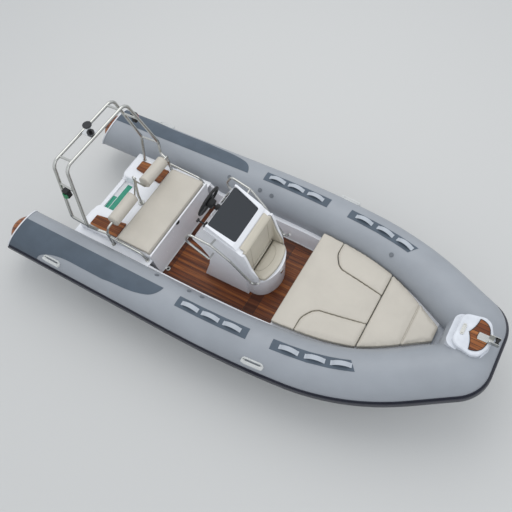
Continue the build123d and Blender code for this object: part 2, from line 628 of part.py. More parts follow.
PARTS["tow_post"] = fused([post, post_foot, eye]) - Pos(*TOW_RING) * Rot(90, 0, 0) * Cylinder(EYE_R, 40)

# ---------------------------------------------------------------- console
CONSOLE_SIDE = 290.0
CONSOLE_SEAT_Z = 400.0
CONSOLE_HINGE_X = 2734.0
GLASS = ((2331.0, 1111.5), (2610.0, 934.5))
GLASS_T = 5.0
GLASS_PLAN = ((2310.0, 264.0), (2612.0, 231.0))
DASH_TOP = ((2260.0, 1000.0), (2300.0, 1060.0))


def mirrored_outline(edges):
    """A face from edges that run from the starboard side forward and across to port, closed aft."""
    start, end = edges[0].position_at(0), edges[-1].position_at(1)
    return make_face(Curve(children=[*edges, Line(end, start)]))


SIDE_AT_FLOOR = 262.0
POD_TOP = (2740.0, CONSOLE_SIDE), (2868.0, 250.0), (2926.0, 171.0), (CONSOLE_NOSE_X, 0.0)
POD_FLOOR = (2722.0, SIDE_AT_FLOOR), (2848.0, 226.0), (2905.0, 155.0), (CONSOLE_NOSE_X - 20, 0.0)


def pod_plan(points):
    (x0, y0), (x1, y1), (x2, y2), nose = points
    return mirrored_outline([
        Line((2400, -y0), (x0, -y0)), ThreePointArc((x0, -y0), (x1, -y1), (x2, -y2)),
        ThreePointArc((x2, -y2), nose, (x2, y2)),
        ThreePointArc((x2, y2), (x1, y1), (x0, y0)), Line((x0, y0), (2400, y0))])


pod = ruled([Pos(0, 0, FLOOR_Z) * pod_plan(POD_FLOOR), Pos(0, 0, CONSOLE_SEAT_Z) * pod_plan(POD_TOP)])
draft = extrude(make_face(Plane.YZ * Polyline(
    (SIDE_AT_FLOOR, FLOOR_Z), (CONSOLE_SIDE, CONSOLE_SEAT_Z), (CONSOLE_SIDE + 50, CONSOLE_SEAT_Z),
    (CONSOLE_SIDE + 50, FLOOR_Z - 10), (SIDE_AT_FLOOR, FLOOR_Z - 10), close=True)), 3000)
upper = prism_y([
    (CONSOLE_AFT_X, FLOOR_Z), (2238, 353), (2273, 508), (2196, 649), (2100, 744), (2114, 770), *DASH_TOP,
    (2592, 915), (2640, 900), (2683, 868), (2700, 860), (2700, 454), (2695, 448),
    (2695, FLOOR_Z)], CONSOLE_SIDE)
upper -= draft
upper -= mirror_y(draft)
console_locker = box(2752, 2880, -180, 180, 190, 420)
wheel_axis = Vector(cos(radians(WHEEL_TILT)), 0, -sin(radians(WHEEL_TILT)))
wheel_centre = Vector(WHEEL_X, 0, WHEEL_Z)
wheel_plane = Plane(origin=wheel_centre, x_dir=(0, 1, 0), z_dir=wheel_axis)


def on_column(start, end, radius):
    return extrude(wheel_plane.offset(start) * Circle(radius), end - start)


ARM_IN = 243.0
CHEEK_IN = 262.0
arm_profile = [(2700 + SEAT_FIT, 864), (2731, 866), (2752, 800), (2790, 640), (2848, 500), (2857, 455),
               (2857, CONSOLE_SEAT_Z + SEAT_FIT), (2695 + SEAT_FIT, CONSOLE_SEAT_Z + SEAT_FIT),
               (2695 + SEAT_FIT, 448), (2700 + SEAT_FIT, 454)]
cheek_profile = [(2690, 850), *arm_profile[1:6], (2857, CONSOLE_SEAT_Z - 5), (2690, CONSOLE_SEAT_Z - 5)]
above_pod = extrude(Pos(0, 0, CONSOLE_SEAT_Z - 5) * pod_plan(POD_TOP), 600)
cheeks = (prism_y(cheek_profile, CONSOLE_SIDE) & above_pod) - box(2600, 2900, -CHEEK_IN, CHEEK_IN, 300, 900)
pad_hinge = Pos(CONSOLE_HINGE_X, 0, CONSOLE_SEAT_Z) * Rot(90, 0, 0)
console = fused([pod, upper, cheeks]) - console_locker - on_column(80, 150 + SEAT_FIT, 34 + SEAT_FIT)
PARTS["console_body"] = console - pad_hinge * Cylinder(BARREL_R + BARREL_FIT, 2 * ARM_IN - 8)
PARTS["helm_boss"] = on_column(92, 150, 34) - on_column(91, 132, 11 + SEAT_FIT)

wheel_rim = wheel_plane * Torus(WHEEL_R - WHEEL_GRIP_R, WHEEL_GRIP_R)
spokes = [wheel_plane * (Rot(0, 0, a) * Pos(84, 0, 0) * Box(140, 28, 8)) for a in (90, 210, 330)]
PARTS["steering_wheel"] = fused([wheel_rim, *spokes, on_column(-14, 16, 34), on_column(10, 126, 11)])

dash_low, dash_high = (Vector(x, 0, z) for x, z in DASH_TOP)
dash_dir = (dash_high - dash_low).normalized()
dash_plane = Plane(origin=(dash_low + dash_high) / 2, x_dir=(0, -1, 0),
                   z_dir=Vector(0, -1, 0).cross(dash_dir))
gauges = [dash_plane * (Pos(x, 0, 0) * extrude(Circle(31), 9)) for x in (-110, -184)]
PARTS["gauges"] = Compound(children=[s for gauge in gauges for s in solids_of(gauge)])
throttle = dash_plane * (Pos(222, 0, 0) * extrude(RectangleRounded(46, 64, 8), 18))
lever = rod(dash_plane.from_local_coords((222, 0, 10)), dash_plane.from_local_coords((222, -30, 84)), 8)
knob = rod(dash_plane.from_local_coords((240, -32, 88)), dash_plane.from_local_coords((202, -32, 88)), 12)
PARTS["throttle"] = fused([throttle, lever, knob])

screen_frame = prism_y([(2300.5, 1060.5), (2327, 1122), (2344, 1124), (2612, 954), (2650, 906),
                        (2640, 900.3),
                        (2592, 915.3)], 282)
(gx0, gy0), (gx1, gy1) = GLASS_PLAN
opening_half = [(2250, -gy0 - 6), (gx0, -gy0), (gx1, -gy1)]
opening = prism_z([*opening_half, *[(x, -y) for x, y in opening_half[::-1]]], 850, 1200)
opening = fillet(opening.edges().filter_by(Axis.Z).sort_by(Axis.X)[-2:], 25)
PARTS["windscreen_frame"] = screen_frame - opening
(ax, az), (bx, bz) = GLASS
run = Vector(bx - ax, 0, bz - az).normalized()
lift = Vector(-run.Z, 0, run.X) * GLASS_T
glass = prism_y([(ax, az), (bx, bz), (bx + lift.X, bz + lift.Z), (ax + lift.X, az + lift.Z)], 260)
pane = prism_z([(2331, -gy0 + 3), (gx1 - SEAT_FIT, -gy1 + SEAT_FIT), (gx1 - SEAT_FIT, gy1 - SEAT_FIT),
                (2331, gy0 - 3)], 850, 1200)
pane = fillet(pane.edges().filter_by(Axis.Z).sort_by(Axis.X)[-2:], 25)
pane = fillet(pane.edges().filter_by(Axis.Z).sort_by(Axis.X)[:2], 30)
PARTS["windscreen"] = glass & pane

back_profile = [(2654, 890), (2683 + SEAT_FIT, 868 + SEAT_FIT), (2700 + SEAT_FIT, 860 + SEAT_FIT),
                (2700 + SEAT_FIT, 454), (2702 + SEAT_FIT, 454), (2731, 504), (2731, 862), (2718, 880),
                (2690, 894), (2668, 905), (2657, 903)]
backrest = prism_y(back_profile, ARM_IN)
arms = (prism_y(arm_profile, CHEEK_IN - SEAT_FIT) & above_pod) - box(2600, 2900, -ARM_IN, ARM_IN, 300, 900)
PARTS["console_backrest"] = fused([backrest, arms])

CONSOLE_PAD_HALF = 238.0
pad_plan = mirrored_outline([
    Line((CONSOLE_HINGE_X, -CONSOLE_PAD_HALF), (2862, -CONSOLE_PAD_HALF)),
    ThreePointArc((2862, -CONSOLE_PAD_HALF), (2893, -224), (2908, -196)),
    ThreePointArc((2908, -196), (2943, 0), (2908, 196)),
    ThreePointArc((2908, 196), (2893, 224), (2862, CONSOLE_PAD_HALF)),
    Line((2862, CONSOLE_PAD_HALF), (CONSOLE_HINGE_X, CONSOLE_PAD_HALF))])
console_lid = Pos(0, 0, CONSOLE_SEAT_Z + SEAT_FIT) * extrude(pad_plan, LID_T - SEAT_FIT)
PARTS["console_seat_lid"] = fused([console_lid, pad_hinge * Cylinder(BARREL_R, 2 * CONSOLE_PAD_HALF - 20)])
console_pad = Pos(0, 0, CONSOLE_SEAT_Z + LID_T) * extrude(pad_plan, 33)
console_pad = chamfer(console_pad.edges().filter_by(Axis.Y).group_by(Axis.Z)[-1].sort_by(Axis.X)[:1], 15)
PARTS["console_seat_pad"] = console_pad
console_latch = box(CONSOLE_NOSE_X - 12, CONSOLE_NOSE_X + 5, -22, 22, 305, 338)
PARTS["console_latch"] = console_latch - PARTS["console_body"]

rail = pipe(((2339, 370, 648, 0), (2104, 393, 876, 90), (2192, 395, 1034, 50), (2430, 379, 980, 90),
             (2597, 360, 800, 90), (2815, 334, 450, 30), (2889, 333, 529, 0)), RAIL_R)
stubs = [rod(a, b, 10) for a, b in (
    ((2341, 369, 646), (2341, CONSOLE_SIDE + SEAT_FIT, 646)),
    ((2420, 379, 981), (2420, CONSOLE_SIDE + SEAT_FIT, 958)))]
low_foot = rod((2800, 334, 462), (2800, 272, 372), 10)
console_rail = fused([rail, *stubs, low_foot]) - PARTS["console_body"]
PARTS["console_rails"] = both(max(console_rail.solids(), key=lambda s: s.volume))

# ---------------------------------------------------------------- bow locker and cushions
LOCKER_TOP = ((LINER_END_X, BOW_LOCKER_Z), (4018.0, BOW_LOCKER_Z), (4640.0, 419.0), (4740.0, 430.0))
LOCKER_DOWN = 185.0       # its underside, below the tubes' axis


def locker_section(x, top):
    half, low = widths(x, 100), axis_at(x)[0].Z - LOCKER_DOWN
    return flat_section(x, [(-half, low), (half, low), (half, top), (-half, top)])


bow_locker = ruled([locker_section(x, top) for x, top in LOCKER_TOP])
bow_locker = bow_locker - PARTS["hull"].solids()[0] - box(3000, 3900, -800, 800, 0, HULL_TOP + 8)
under_locker = box(LINER_END_X, 3900, -560, 560, HULL_TOP, HULL_TOP + 8) - PARTS["hull"].solids()[0]
bow_locker = beside_tubes(fused([bow_locker, under_locker]))
PARTS["bow_locker"] = max(bow_locker.solids(), key=lambda s: s.volume)

CUSHION_IN = ((3165.0, 270.0), (4018.0, 267.0), (4385.0, 298.0), (4640.0, 304.0))
GAP = 3.0


def cushion_edge(x):
    for (x0, d0), (x1, d1) in zip(CUSHION_IN, CUSHION_IN[1:]):
        if x <= x1:
            inboard = d0 + (d1 - d0) * (x - x0) / (x1 - x0)
            break
    axis, ahead = axis_at(x)
    return axis.Y - inboard / Vector(ahead.X, ahead.Y, 0).normalized().X


def cushion(points):
    """A bow cushion: its plan outline, lying on the locker's top."""
    tall = prism_z(points, 300, 600)
    (_, z0), (x1, z1), (x2, z2), _ = LOCKER_TOP
    x0 = BOW_LOCKER_X
    base = [(x0, z0), (x1, z1), (x2, z2)]
    return tall & prism_y([*base, *[(x, z + CUSHION_T) for x, z in base[::-1]]], 700)


SIDE_SPLIT = ((3410, 440), (3420, 400), (3441, 360), (3480, 300), (3535, 262), (3770, 222), (4018, 175))
main_half = [*[(x, cushion_edge(x)) for x in (BOW_LOCKER_X, 3290, 3410)], *SIDE_SPLIT]
PARTS["bow_cushion_main"] = cushion([*main_half, *[(x, -y) for x, y in main_half[::-1]]])
side_inner = [(x + GAP, y + GAP) for x, y in SIDE_SPLIT[:-1]] + [(4018, 175 + GAP)]
side_outer = [(x, cushion_edge(x)) for x in (4018, 3920, 3800, 3670, 3540, 3410 + GAP)]
PARTS["bow_cushion_port"] = cushion(side_inner + side_outer)
PARTS["bow_cushion_starboard"] = mirror_y(PARTS["bow_cushion_port"])
fore = [(x, cushion_edge(x)) for x in (4018 + GAP, 4110, 4200, 4300, 4385)]
PARTS["bow_cushion_forward"] = cushion([*fore, *[(x, -y) for x, y in fore[::-1]]])
tip = [(x, cushion_edge(x)) for x in (4385 + GAP, 4500, 4632)]
PARTS["bow_cushion_tip"] = cushion([*tip, *[(x, -y) for x, y in tip[::-1]]])

# ---------------------------------------------------------------- bow fittings
PLATE_Z = 806.0
plate_half = ((4776, 158), (4970, 202), (5030, 172), (5078, 70))
base_half = ((4728, 162), (4972, 214), (5045, 178), (5092, 70))


def rounded_plan(half, z0, z1, radius):
    shape = prism_z([*half, *[(x, -y) for x, y in half[::-1]]], z0, z1)
    return fillet(shape.edges().filter_by(Axis.Z), radius)


bow_plate = rounded_plan(plate_half, 730, PLATE_Z, 80)
bow_plate = chamfer(bow_plate.edges().group_by(Axis.Z)[-1], 10)
PARTS["bow_plate"] = beside_tubes(fused([rounded_plan(base_half, 630, 742, 80), bow_plate]))

TEAK_T = 4.0
teak = mirrored_outline([
    ThreePointArc((4882, 0), (4917, -80), (4930, -160)),
    ThreePointArc((4930, -160), (4992, -146), (5034, -103)),
    ThreePointArc((5034, -103), (5047, -66), (5053, -21)),
    Line((5053, -21), (4957, -21)),
    Line((4957, -21), (4957, 21)),
    Line((4957, 21), (5053, 21)),
    ThreePointArc((5053, 21), (5047, 66), (5034, 103)),
    ThreePointArc((5034, 103), (4992, 146), (4930, 160)),
    ThreePointArc((4930, 160), (4917, 80), (4882, 0.01))])
PARTS["bow_teak"] = Pos(0, 0, PLATE_Z) * extrude(teak, TEAK_T)
cleat = extrude(Rot(0, 0, 90) * SlotOverall(116, 34), 8)
cleat -= Pos(0, 0, 4) * extrude(Rot(0, 0, 90) * SlotOverall(96, 20), 8)
cleat += extrude(Rot(0, 0, 90) * SlotOverall(84, 9), 16)
PARTS["bow_cleat"] = Pos(4830, 0, PLATE_Z) * cleat

ROLLER = (5122.0, 0.0, PLATE_Z + 29)
ROLLER_R = 21.0
ROLLER_HALF = 24.5
PIN_R = 5.0
bracket_base = [box(4960, 5095, -20, 20, PLATE_Z, PLATE_Z + TEAK_T + 2),
                box(4962, 5095, -36, 36, PLATE_Z + TEAK_T + SEAT_FIT, PLATE_Z + 10)]
roller_cheek = box(5050, 5148, 30, 36, PLATE_Z + 5, PLATE_Z + 54)
roller_cheek = fillet(roller_cheek.edges().filter_by(Axis.Y), 16)
pin = Pos(*ROLLER) * Rot(90, 0, 0) * Cylinder(PIN_R, 78)
PARTS["roller_bracket"] = fused([*bracket_base, roller_cheek, mirror_y(roller_cheek), pin])
roller = revolve(Plane.XZ * make_face(Polyline(
    (PIN_R + SEAT_FIT, -ROLLER_HALF), (ROLLER_R, -ROLLER_HALF), (ROLLER_R - 7, 0), (ROLLER_R, ROLLER_HALF),
    (PIN_R + SEAT_FIT, ROLLER_HALF), close=True)), Axis.Z, 360)
PARTS["bow_roller"] = Pos(*ROLLER) * Rot(90, 0, 0) * roller

os.makedirs("parts", exist_ok=True)
for name, shape in PARTS.items():
    export_step(shape, f"parts/{name}.step")
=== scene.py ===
"""Looks for the rigid inflatable boat: materials, cushions, planking, trim, light and camera.

Lengths are metres in the boat's frame: x forward, y to port, z up from the waterline.
"""

import math

import bmesh
import bpy
from mathutils import Matrix, Vector
from mathutils.bvhtree import BVHTree


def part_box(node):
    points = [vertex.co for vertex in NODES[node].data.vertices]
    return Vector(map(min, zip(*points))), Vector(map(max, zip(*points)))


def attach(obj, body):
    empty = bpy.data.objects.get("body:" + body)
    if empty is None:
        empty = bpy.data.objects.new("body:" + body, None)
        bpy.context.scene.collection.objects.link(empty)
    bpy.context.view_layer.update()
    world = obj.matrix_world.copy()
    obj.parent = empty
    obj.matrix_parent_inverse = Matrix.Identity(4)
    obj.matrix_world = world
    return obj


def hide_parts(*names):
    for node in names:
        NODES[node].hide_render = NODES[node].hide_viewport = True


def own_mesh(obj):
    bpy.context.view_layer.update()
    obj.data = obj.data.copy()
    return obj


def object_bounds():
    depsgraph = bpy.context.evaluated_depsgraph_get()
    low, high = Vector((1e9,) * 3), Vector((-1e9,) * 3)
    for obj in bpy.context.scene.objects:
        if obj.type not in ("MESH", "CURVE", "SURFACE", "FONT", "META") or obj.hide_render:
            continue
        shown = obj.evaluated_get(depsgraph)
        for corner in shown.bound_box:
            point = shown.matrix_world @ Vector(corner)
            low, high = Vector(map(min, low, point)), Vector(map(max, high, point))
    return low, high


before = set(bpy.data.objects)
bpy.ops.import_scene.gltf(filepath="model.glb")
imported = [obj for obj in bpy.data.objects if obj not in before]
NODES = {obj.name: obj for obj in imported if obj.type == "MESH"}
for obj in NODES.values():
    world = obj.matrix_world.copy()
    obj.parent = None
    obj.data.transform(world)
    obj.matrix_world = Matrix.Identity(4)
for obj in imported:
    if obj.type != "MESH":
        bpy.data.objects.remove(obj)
cad_low, cad_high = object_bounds()

# ---------------------------------------------------------------- view and light
LENS_MM = 40.675
SENSOR_MM = 36.0
SIGHT_LIMIT = 60.0
CAMERA_AT = Vector((4.69684, -2.51158, 5.65284))
CAMERA_RIGHT = Vector((0.857936, 0.505444, -0.092044))
CAMERA_DOWN = Vector((0.392859, -0.760883, -0.516448))

SKY_COLOR = (0.92, 0.955, 1.0, 1.0)
SKY_STRENGTH = 0.96
BOAT_MIDDLE = Vector((2.6, 0.0, 0.2))
LAMPS = (                 # name, place, side, watts, colour
    ("overhead", Vector((1.5, 2.5, 7.5)), 7.0, 190.0, (1.0, 0.985, 0.96)),
    ("bow_side", Vector((9.0, -3.0, 5.5)), 4.0, 50.0, (0.95, 0.97, 1.0)),
)
FLOOR_SIZE = 40.0
FLOOR_DROP = 0.001        # the studio floor lies this far under the keel
FLOOR_GREY = (0.56, 0.56, 0.55)


def add_camera():
    camera = bpy.data.cameras.new("camera")
    camera.lens = LENS_MM
    camera.sensor_width = SENSOR_MM
    camera.clip_end = SIGHT_LIMIT
    holder = bpy.data.objects.new("camera", camera)
    bpy.context.scene.collection.objects.link(holder)
    back = CAMERA_RIGHT.cross(-CAMERA_DOWN)
    turn = Matrix((CAMERA_RIGHT, -CAMERA_DOWN, back)).transposed()
    holder.matrix_world = Matrix.Translation(CAMERA_AT) @ turn.to_4x4()
    bpy.context.scene.camera = holder


def add_sky():
    world = bpy.data.worlds.new("sky")
    world.use_nodes = True
    background = world.node_tree.nodes["Background"]
    background.inputs["Color"].default_value = SKY_COLOR
    background.inputs["Strength"].default_value = SKY_STRENGTH
    bpy.context.scene.world = world
    bpy.context.scene.view_settings.view_transform = "Standard"


def add_lamps():
    """Square soft lamps that face the middle of the boat."""
    for name, place, side, power, tint in LAMPS:
        light = bpy.data.lights.new(name, "AREA")
        light.size = side
        light.energy = power
        light.color = tint
        holder = bpy.data.objects.new(name, light)
        bpy.context.scene.collection.objects.link(holder)
        holder.location = place
        holder.rotation_euler = (BOAT_MIDDLE - place).to_track_quat("-Z", "Y").to_euler()


def add_studio_floor():
    bpy.ops.mesh.primitive_plane_add(
        size=FLOOR_SIZE, location=(BOAT_MIDDLE.x, BOAT_MIDDLE.y, cad_low.z - FLOOR_DROP))
    floor = bpy.context.object
    floor.name = "studio_floor"
    paint = Paint("studio_floor_paint", FLOOR_GREY, roughness=0.9)
    floor.data.materials.append(paint.material)


# ---------------------------------------------------------------- colours, in linear red, green and blue
GELCOAT_WHITE = (0.76, 0.77, 0.80)
BOW_PLATE_WHITE = (0.62, 0.645, 0.69)
MOULDED_WHITE = (0.60, 0.61, 0.60)
SEALANT_WHITE = (0.62, 0.63, 0.64)
RING_WHITE = (0.66, 0.67, 0.70)
TUBE_GREY = (0.288, 0.308, 0.336)
WEBBING_GREY = (0.40, 0.43, 0.47)
VALVE_GREY = (0.15, 0.165, 0.185)
PATCH_SLATE = (0.065, 0.088, 0.116)
STRAKE_NAVY = (0.016, 0.018, 0.030)
# Steel's own grey, made darker and warmer as a painted reflection of dark ground.
STEEL_AND_REFLECTION_GREY = (0.50, 0.50, 0.475)
SMOKE = (0.028, 0.033, 0.040)
CUSHION_CREAM = (0.50, 0.465, 0.405)
CONSOLE_CREAM = (0.50, 0.463, 0.385)
PIPING_CREAM = (0.38, 0.35, 0.285)
SEALANT_BLACK = (0.010, 0.008, 0.007)
PLASTIC_BLACK = (0.004, 0.004, 0.0045)
DIAL_BLACK = (0.03, 0.03, 0.032)
LAMP_BLACK = (0.010, 0.010, 0.011)
TAPE_GREEN = (0.020, 0.26, 0.165)
LENS_RED = (0.42, 0.008, 0.008)
LENS_GREEN = (0.01, 0.26, 0.09)
LAMP_CLEAR = (0.45, 0.47, 0.48)
LAMP_PLATE_GREY = (0.60, 0.61, 0.62)

# Pairs of tones, dark and light, that a finish drifts between.
LOCKER_FABRIC_TONES = ((0.29, 0.315, 0.355), (0.33, 0.355, 0.395))
LOCKER_SHELL_TONES = ((0.64, 0.65, 0.68), (0.68, 0.69, 0.72))
LID_COVER_TONES = ((0.50, 0.46, 0.38), (0.55, 0.51, 0.42))
LID_SHELL_TONES = ((0.72, 0.73, 0.76), (0.76, 0.77, 0.80))
LAMP_BLACK_TONES = ((0.008, 0.008, 0.009), (0.016, 0.016, 0.018))
PLANK_TONES = ((0.14, 0.034, 0.009), (0.315, 0.106, 0.026))
MARGIN_TONES = ((0.07, 0.019, 0.008), (0.17, 0.052, 0.017))
CAP_TONES = ((0.19, 0.052, 0.014), (0.38, 0.145, 0.042))
PANEL_TONES = ((0.18, 0.049, 0.013), (0.40, 0.155, 0.044))

# Where a finish changes along a piece.
LOCKER_FABRIC_X = 4.625
LID_COVER_X = 2.745
LAMP_PLATE_TOP = 1.4235
LAMP_LENS_Z = (1.5012, 1.5292)


# ---------------------------------------------------------------- materials
class Paint:
    """A node material built up in small steps, with its pattern fixed to the boat."""

    NOISE_ROUGHNESS = 0.55

    def __init__(self, name, color, roughness=0.5, metallic=0.0, coat=0.0):
        self.material = bpy.data.materials.new(name)
        self.material.use_nodes = True
        self.tree = self.material.node_tree
        self.shader = self.tree.nodes["Principled BSDF"]
        self.shader.inputs["Base Color"].default_value = (*color, 1.0)
        self.shader.inputs["Roughness"].default_value = roughness
        self.shader.inputs["Metallic"].default_value = metallic
        self.shader.inputs["Coat Weight"].default_value = coat
        self.place = self.node("ShaderNodeTexCoord").outputs["Object"]
        self.color = color

    def node(self, kind, **values):
        made = self.tree.nodes.new(kind)
        for key, value in values.items():
            setattr(made, key, value)
        return made

    def link(self, source, target):
        self.tree.links.new(source, target)

    def stretched(self, scale):
        mapping = self.node("ShaderNodeMapping")
        mapping.inputs["Scale"].default_value = scale
        self.link(self.place, mapping.inputs["Vector"])
        return mapping.outputs["Vector"]

    def noise(self, scale, detail=4.0, stretch=(1.0, 1.0, 1.0)):
        made = self.node("ShaderNodeTexNoise")
        made.inputs["Scale"].default_value = scale
        made.inputs["Detail"].default_value = detail
        made.inputs["Roughness"].default_value = self.NOISE_ROUGHNESS
        self.link(self.stretched(stretch), made.inputs["Vector"])
        return made.outputs["Fac"]

    def cells(self, scale):
        made = self.node("ShaderNodeTexVoronoi")
        made.inputs["Scale"].default_value = scale
        self.link(self.place, made.inputs["Vector"])
        return made.outputs["Distance"]

    def between(self, factor, low, high, start=0.0, end=1.0):
        """A value or colour that runs from low to high as the factor runs from start to end."""
        ramp = self.node("ShaderNodeMapRange")
        ramp.inputs["From Min"].default_value = start
        ramp.inputs["From Max"].default_value = end
        self.link(factor, ramp.inputs["Value"])
        if isinstance(low, (int, float)):
            ramp.inputs["To Min"].default_value = low
            ramp.inputs["To Max"].default_value = high
            return ramp.outputs["Result"]
        mix = self.node("ShaderNodeMix", data_type="RGBA")
        self.link(ramp.outputs["Result"], mix.inputs["Factor"])
        for socket, value in ((6, low), (7, high)):
            if isinstance(value, tuple):
                mix.inputs[socket].default_value = (*value, 1.0)
            else:
                self.link(value, mix.inputs[socket])
        return mix.outputs[2]

    def math(self, operation, *values):
        made = self.node("ShaderNodeMath", operation=operation)
        for socket, value in zip(made.inputs, values):
            if isinstance(value, (int, float)):
                socket.default_value = value
            else:
                self.link(value, socket)
        return made.outputs[0]

    def axis(self, name):
        split = self.node("ShaderNodeSeparateXYZ")
        self.link(self.place, split.inputs[0])
        return split.outputs[name]

    def bump(self, height, depth, strength):
        """Adds a relief to those already there."""
        made = self.node("ShaderNodeBump")
        made.inputs["Strength"].default_value = strength
        made.inputs["Distance"].default_value = depth
        self.link(height, made.inputs["Height"])
        if self.shader.inputs["Normal"].is_linked:
            self.link(self.shader.inputs["Normal"].links[0].from_socket, made.inputs["Normal"])
        self.link(made.outputs["Normal"], self.shader.inputs["Normal"])
        return self

    def set(self, name, source):
        if isinstance(source, (int, float)):
            self.shader.inputs[name].default_value = source
        else:
            self.link(source, self.shader.inputs[name])

    def vary(self, factor, spread):
        """Lets the base colour drift a little darker and lighter."""
        dark = tuple(c * (1 - spread) for c in self.color)
        light = tuple(min(1.0, c * (1 + spread)) for c in self.color)
        self.set("Base Color", self.between(factor, dark, light, 0.3, 0.7))


def gelcoat():
    paint = Paint("gelcoat", GELCOAT_WHITE, roughness=0.22, coat=0.4)
    paint.vary(paint.noise(2.3, 5.0), 0.03)
    paint.set("Roughness", paint.between(paint.noise(38.0, 3.0), 0.18, 0.32))
    return paint.bump(paint.noise(9.0, 2.0), 0.0006, 0.4).material


def coated_fabric(name, color, roughness=0.46):
    paint = Paint(name, color, roughness=roughness)
    paint.vary(paint.noise(3.1, 6.0), 0.05)
    paint.set("Roughness", paint.between(paint.noise(26.0, 4.0), roughness - 0.07, roughness + 0.08))
    paint.bump(paint.noise(7.0, 3.0), 0.0015, 0.35)
    return paint.bump(paint.noise(900.0, 2.0), 0.0002, 0.5).material


def non_slip(name, color):
    paint = Paint(name, color, roughness=0.62)
    paint.vary(paint.noise(6.0, 5.0), 0.10)
    return paint.bump(paint.cells(420.0), 0.0005, 0.8).material


def lines(paint, axis, pitch, width, shift):
    """A mask of narrow lines across an axis, one each pitch."""
    along = paint.math("DIVIDE", paint.math("ADD", paint.axis(axis), shift), pitch)
    return paint.math("LESS_THAN", paint.math("FRACT", along), width / pitch)


# How far teak's grain and the tone of its boards are stretched, fore and aft or upright.
GRAIN_ALONG = (0.22, 3.2, 3.2)
GRAIN_UPRIGHT = (3.2, 3.2, 0.22)
BOARDS_ALONG = (0.35, 21.0, 1.0)
BOARDS_UPRIGHT = (1.0, 21.0, 0.35)
DEEP_TONE = 0.55          # the darkest boards, as a share of the dark tone
SEAM_W = 0.005
SEAM_BLACK = (0.012, 0.009, 0.008)


def teak(name, tones, pitch=0.0, shift=0.0, upright=False):
    """Oiled planks: each board has its own tone, and seams are drawn where the boards aren't modelled."""
    dark, light = tones
    paint = Paint(name, light, roughness=0.5)
    paint.set("Specular IOR Level", 0.25)
    grain = paint.noise(14.0, 8.0, GRAIN_UPRIGHT if upright else GRAIN_ALONG)
    boards = paint.noise(1.0, 0.0, BOARDS_UPRIGHT if upright else BOARDS_ALONG)
    deep = tuple(c * DEEP_TONE for c in dark)
    low = paint.between(boards, deep, dark, 0.35, 0.65)
    high = paint.between(boards, dark, light, 0.35, 0.65)
    wood = paint.between(grain, low, high, 0.34, 0.68)
    if pitch:
        wood = paint.between(lines(paint, "Y", pitch, SEAM_W, shift), wood, SEAM_BLACK)
    paint.set("Base Color", wood)
    paint.set("Roughness", paint.between(grain, 0.34, 0.55))
    return paint.bump(grain, 0.0006, 0.5).material


def vinyl(name, color):
    paint = Paint(name, color, roughness=0.48)
    paint.vary(paint.noise(4.0, 5.0), 0.04)
    paint.set("Roughness", paint.between(paint.noise(60.0, 3.0), 0.42, 0.56))
    paint.bump(paint.noise(6.0, 3.0), 0.003, 0.3)
    return paint.bump(paint.cells(520.0), 0.0002, 0.5).material


def stainless():
    # Its base colour is partly steel's own grey and partly a painted reflection of dark ground.
    paint = Paint("stainless", STEEL_AND_REFLECTION_GREY, roughness=0.2, metallic=1.0)
    paint.set("Roughness", paint.between(paint.noise(60.0, 4.0), 0.10, 0.28))
    return paint.material


def moulded(name, color, roughness=0.4):
    paint = Paint(name, color, roughness=roughness)
    paint.vary(paint.noise(12.0, 4.0), 0.08)
    return paint.bump(paint.noise(700.0, 2.0), 0.0001, 0.6).material


def tinted():
    paint = Paint("smoked_acrylic", SMOKE, roughness=0.08)
    paint.set("Transmission Weight", 0.25)
    paint.set("Roughness", paint.between(paint.noise(30.0, 3.0), 0.05, 0.12))
    return paint.material


def lens(name, color):
    paint = Paint(name, color, roughness=0.12, coat=0.5)
    paint.set("Transmission Weight", 0.3)
    return paint.bump(lines(paint, "Z", 0.006, 0.002, 0.0), 0.0006, 0.5).material


def locker_finish():
    """The bow locker: gelcoat beside the cushions, and tube fabric carried over it ahead of them."""
    paint = Paint("bow_locker_finish", RING_WHITE, roughness=0.4)
    ahead = paint.math("GREATER_THAN", paint.axis("X"), LOCKER_FABRIC_X)
    cloudy = paint.noise(3.0, 3.0)
    fabric = paint.between(cloudy, *LOCKER_FABRIC_TONES)
    shell = paint.between(cloudy, *LOCKER_SHELL_TONES)
    paint.set("Base Color", paint.between(ahead, shell, fabric))
    return paint.bump(paint.noise(400.0, 2.0), 0.0002, 0.4).material


def lid_finish():
    """The console's seat lid: gelcoat, with upholstery turned over its after edge."""
    paint = Paint("console_lid_finish", GELCOAT_WHITE, roughness=0.3)
    covered = paint.math("LESS_THAN", paint.axis("X"), LID_COVER_X)
    cloudy = paint.noise(4.0, 3.0)
    cover = paint.between(cloudy, *LID_COVER_TONES)
    shell = paint.between(cloudy, *LID_SHELL_TONES)
    paint.set("Base Color", paint.between(covered, shell, cover))
    return paint.material


def lamp_finish():
    """The all-round light: steel plate below, black base and cap, and a clear lens between them."""
    paint = Paint("all_round_lamp", LAMP_BLACK, roughness=0.35)
    height = paint.axis("Z")
    plate = paint.math("LESS_THAN", height, LAMP_PLATE_TOP)
    above = paint.math("GREATER_THAN", height, LAMP_LENS_Z[0])
    below = paint.math("LESS_THAN", height, LAMP_LENS_Z[1])
    clear = paint.math("MULTIPLY", above, below)
    black = paint.between(paint.noise(30.0), *LAMP_BLACK_TONES)
    tone = paint.between(clear, black, LAMP_CLEAR)
    paint.set("Base Color", paint.between(plate, tone, LAMP_PLATE_GREY))
    paint.set("Metallic", plate)
    paint.set("Roughness", paint.between(paint.noise(40.0), 0.22, 0.38))
    return paint.material


def dress(material, *names):
    """Gives carried-over CAD nodes a finish."""
    for name in names:
        mesh = NODES[name].data
        mesh.materials.clear()
        mesh.materials.append(material)


# ---------------------------------------------------------------- making pieces
LATHE_SEGMENTS = 48
SHARP_ANGLE = math.radians(35)
WELD = 1e-5               # points nearer than this are one
FACES_UP = 0.85           # upward part of a face's normal, from which the face looks up


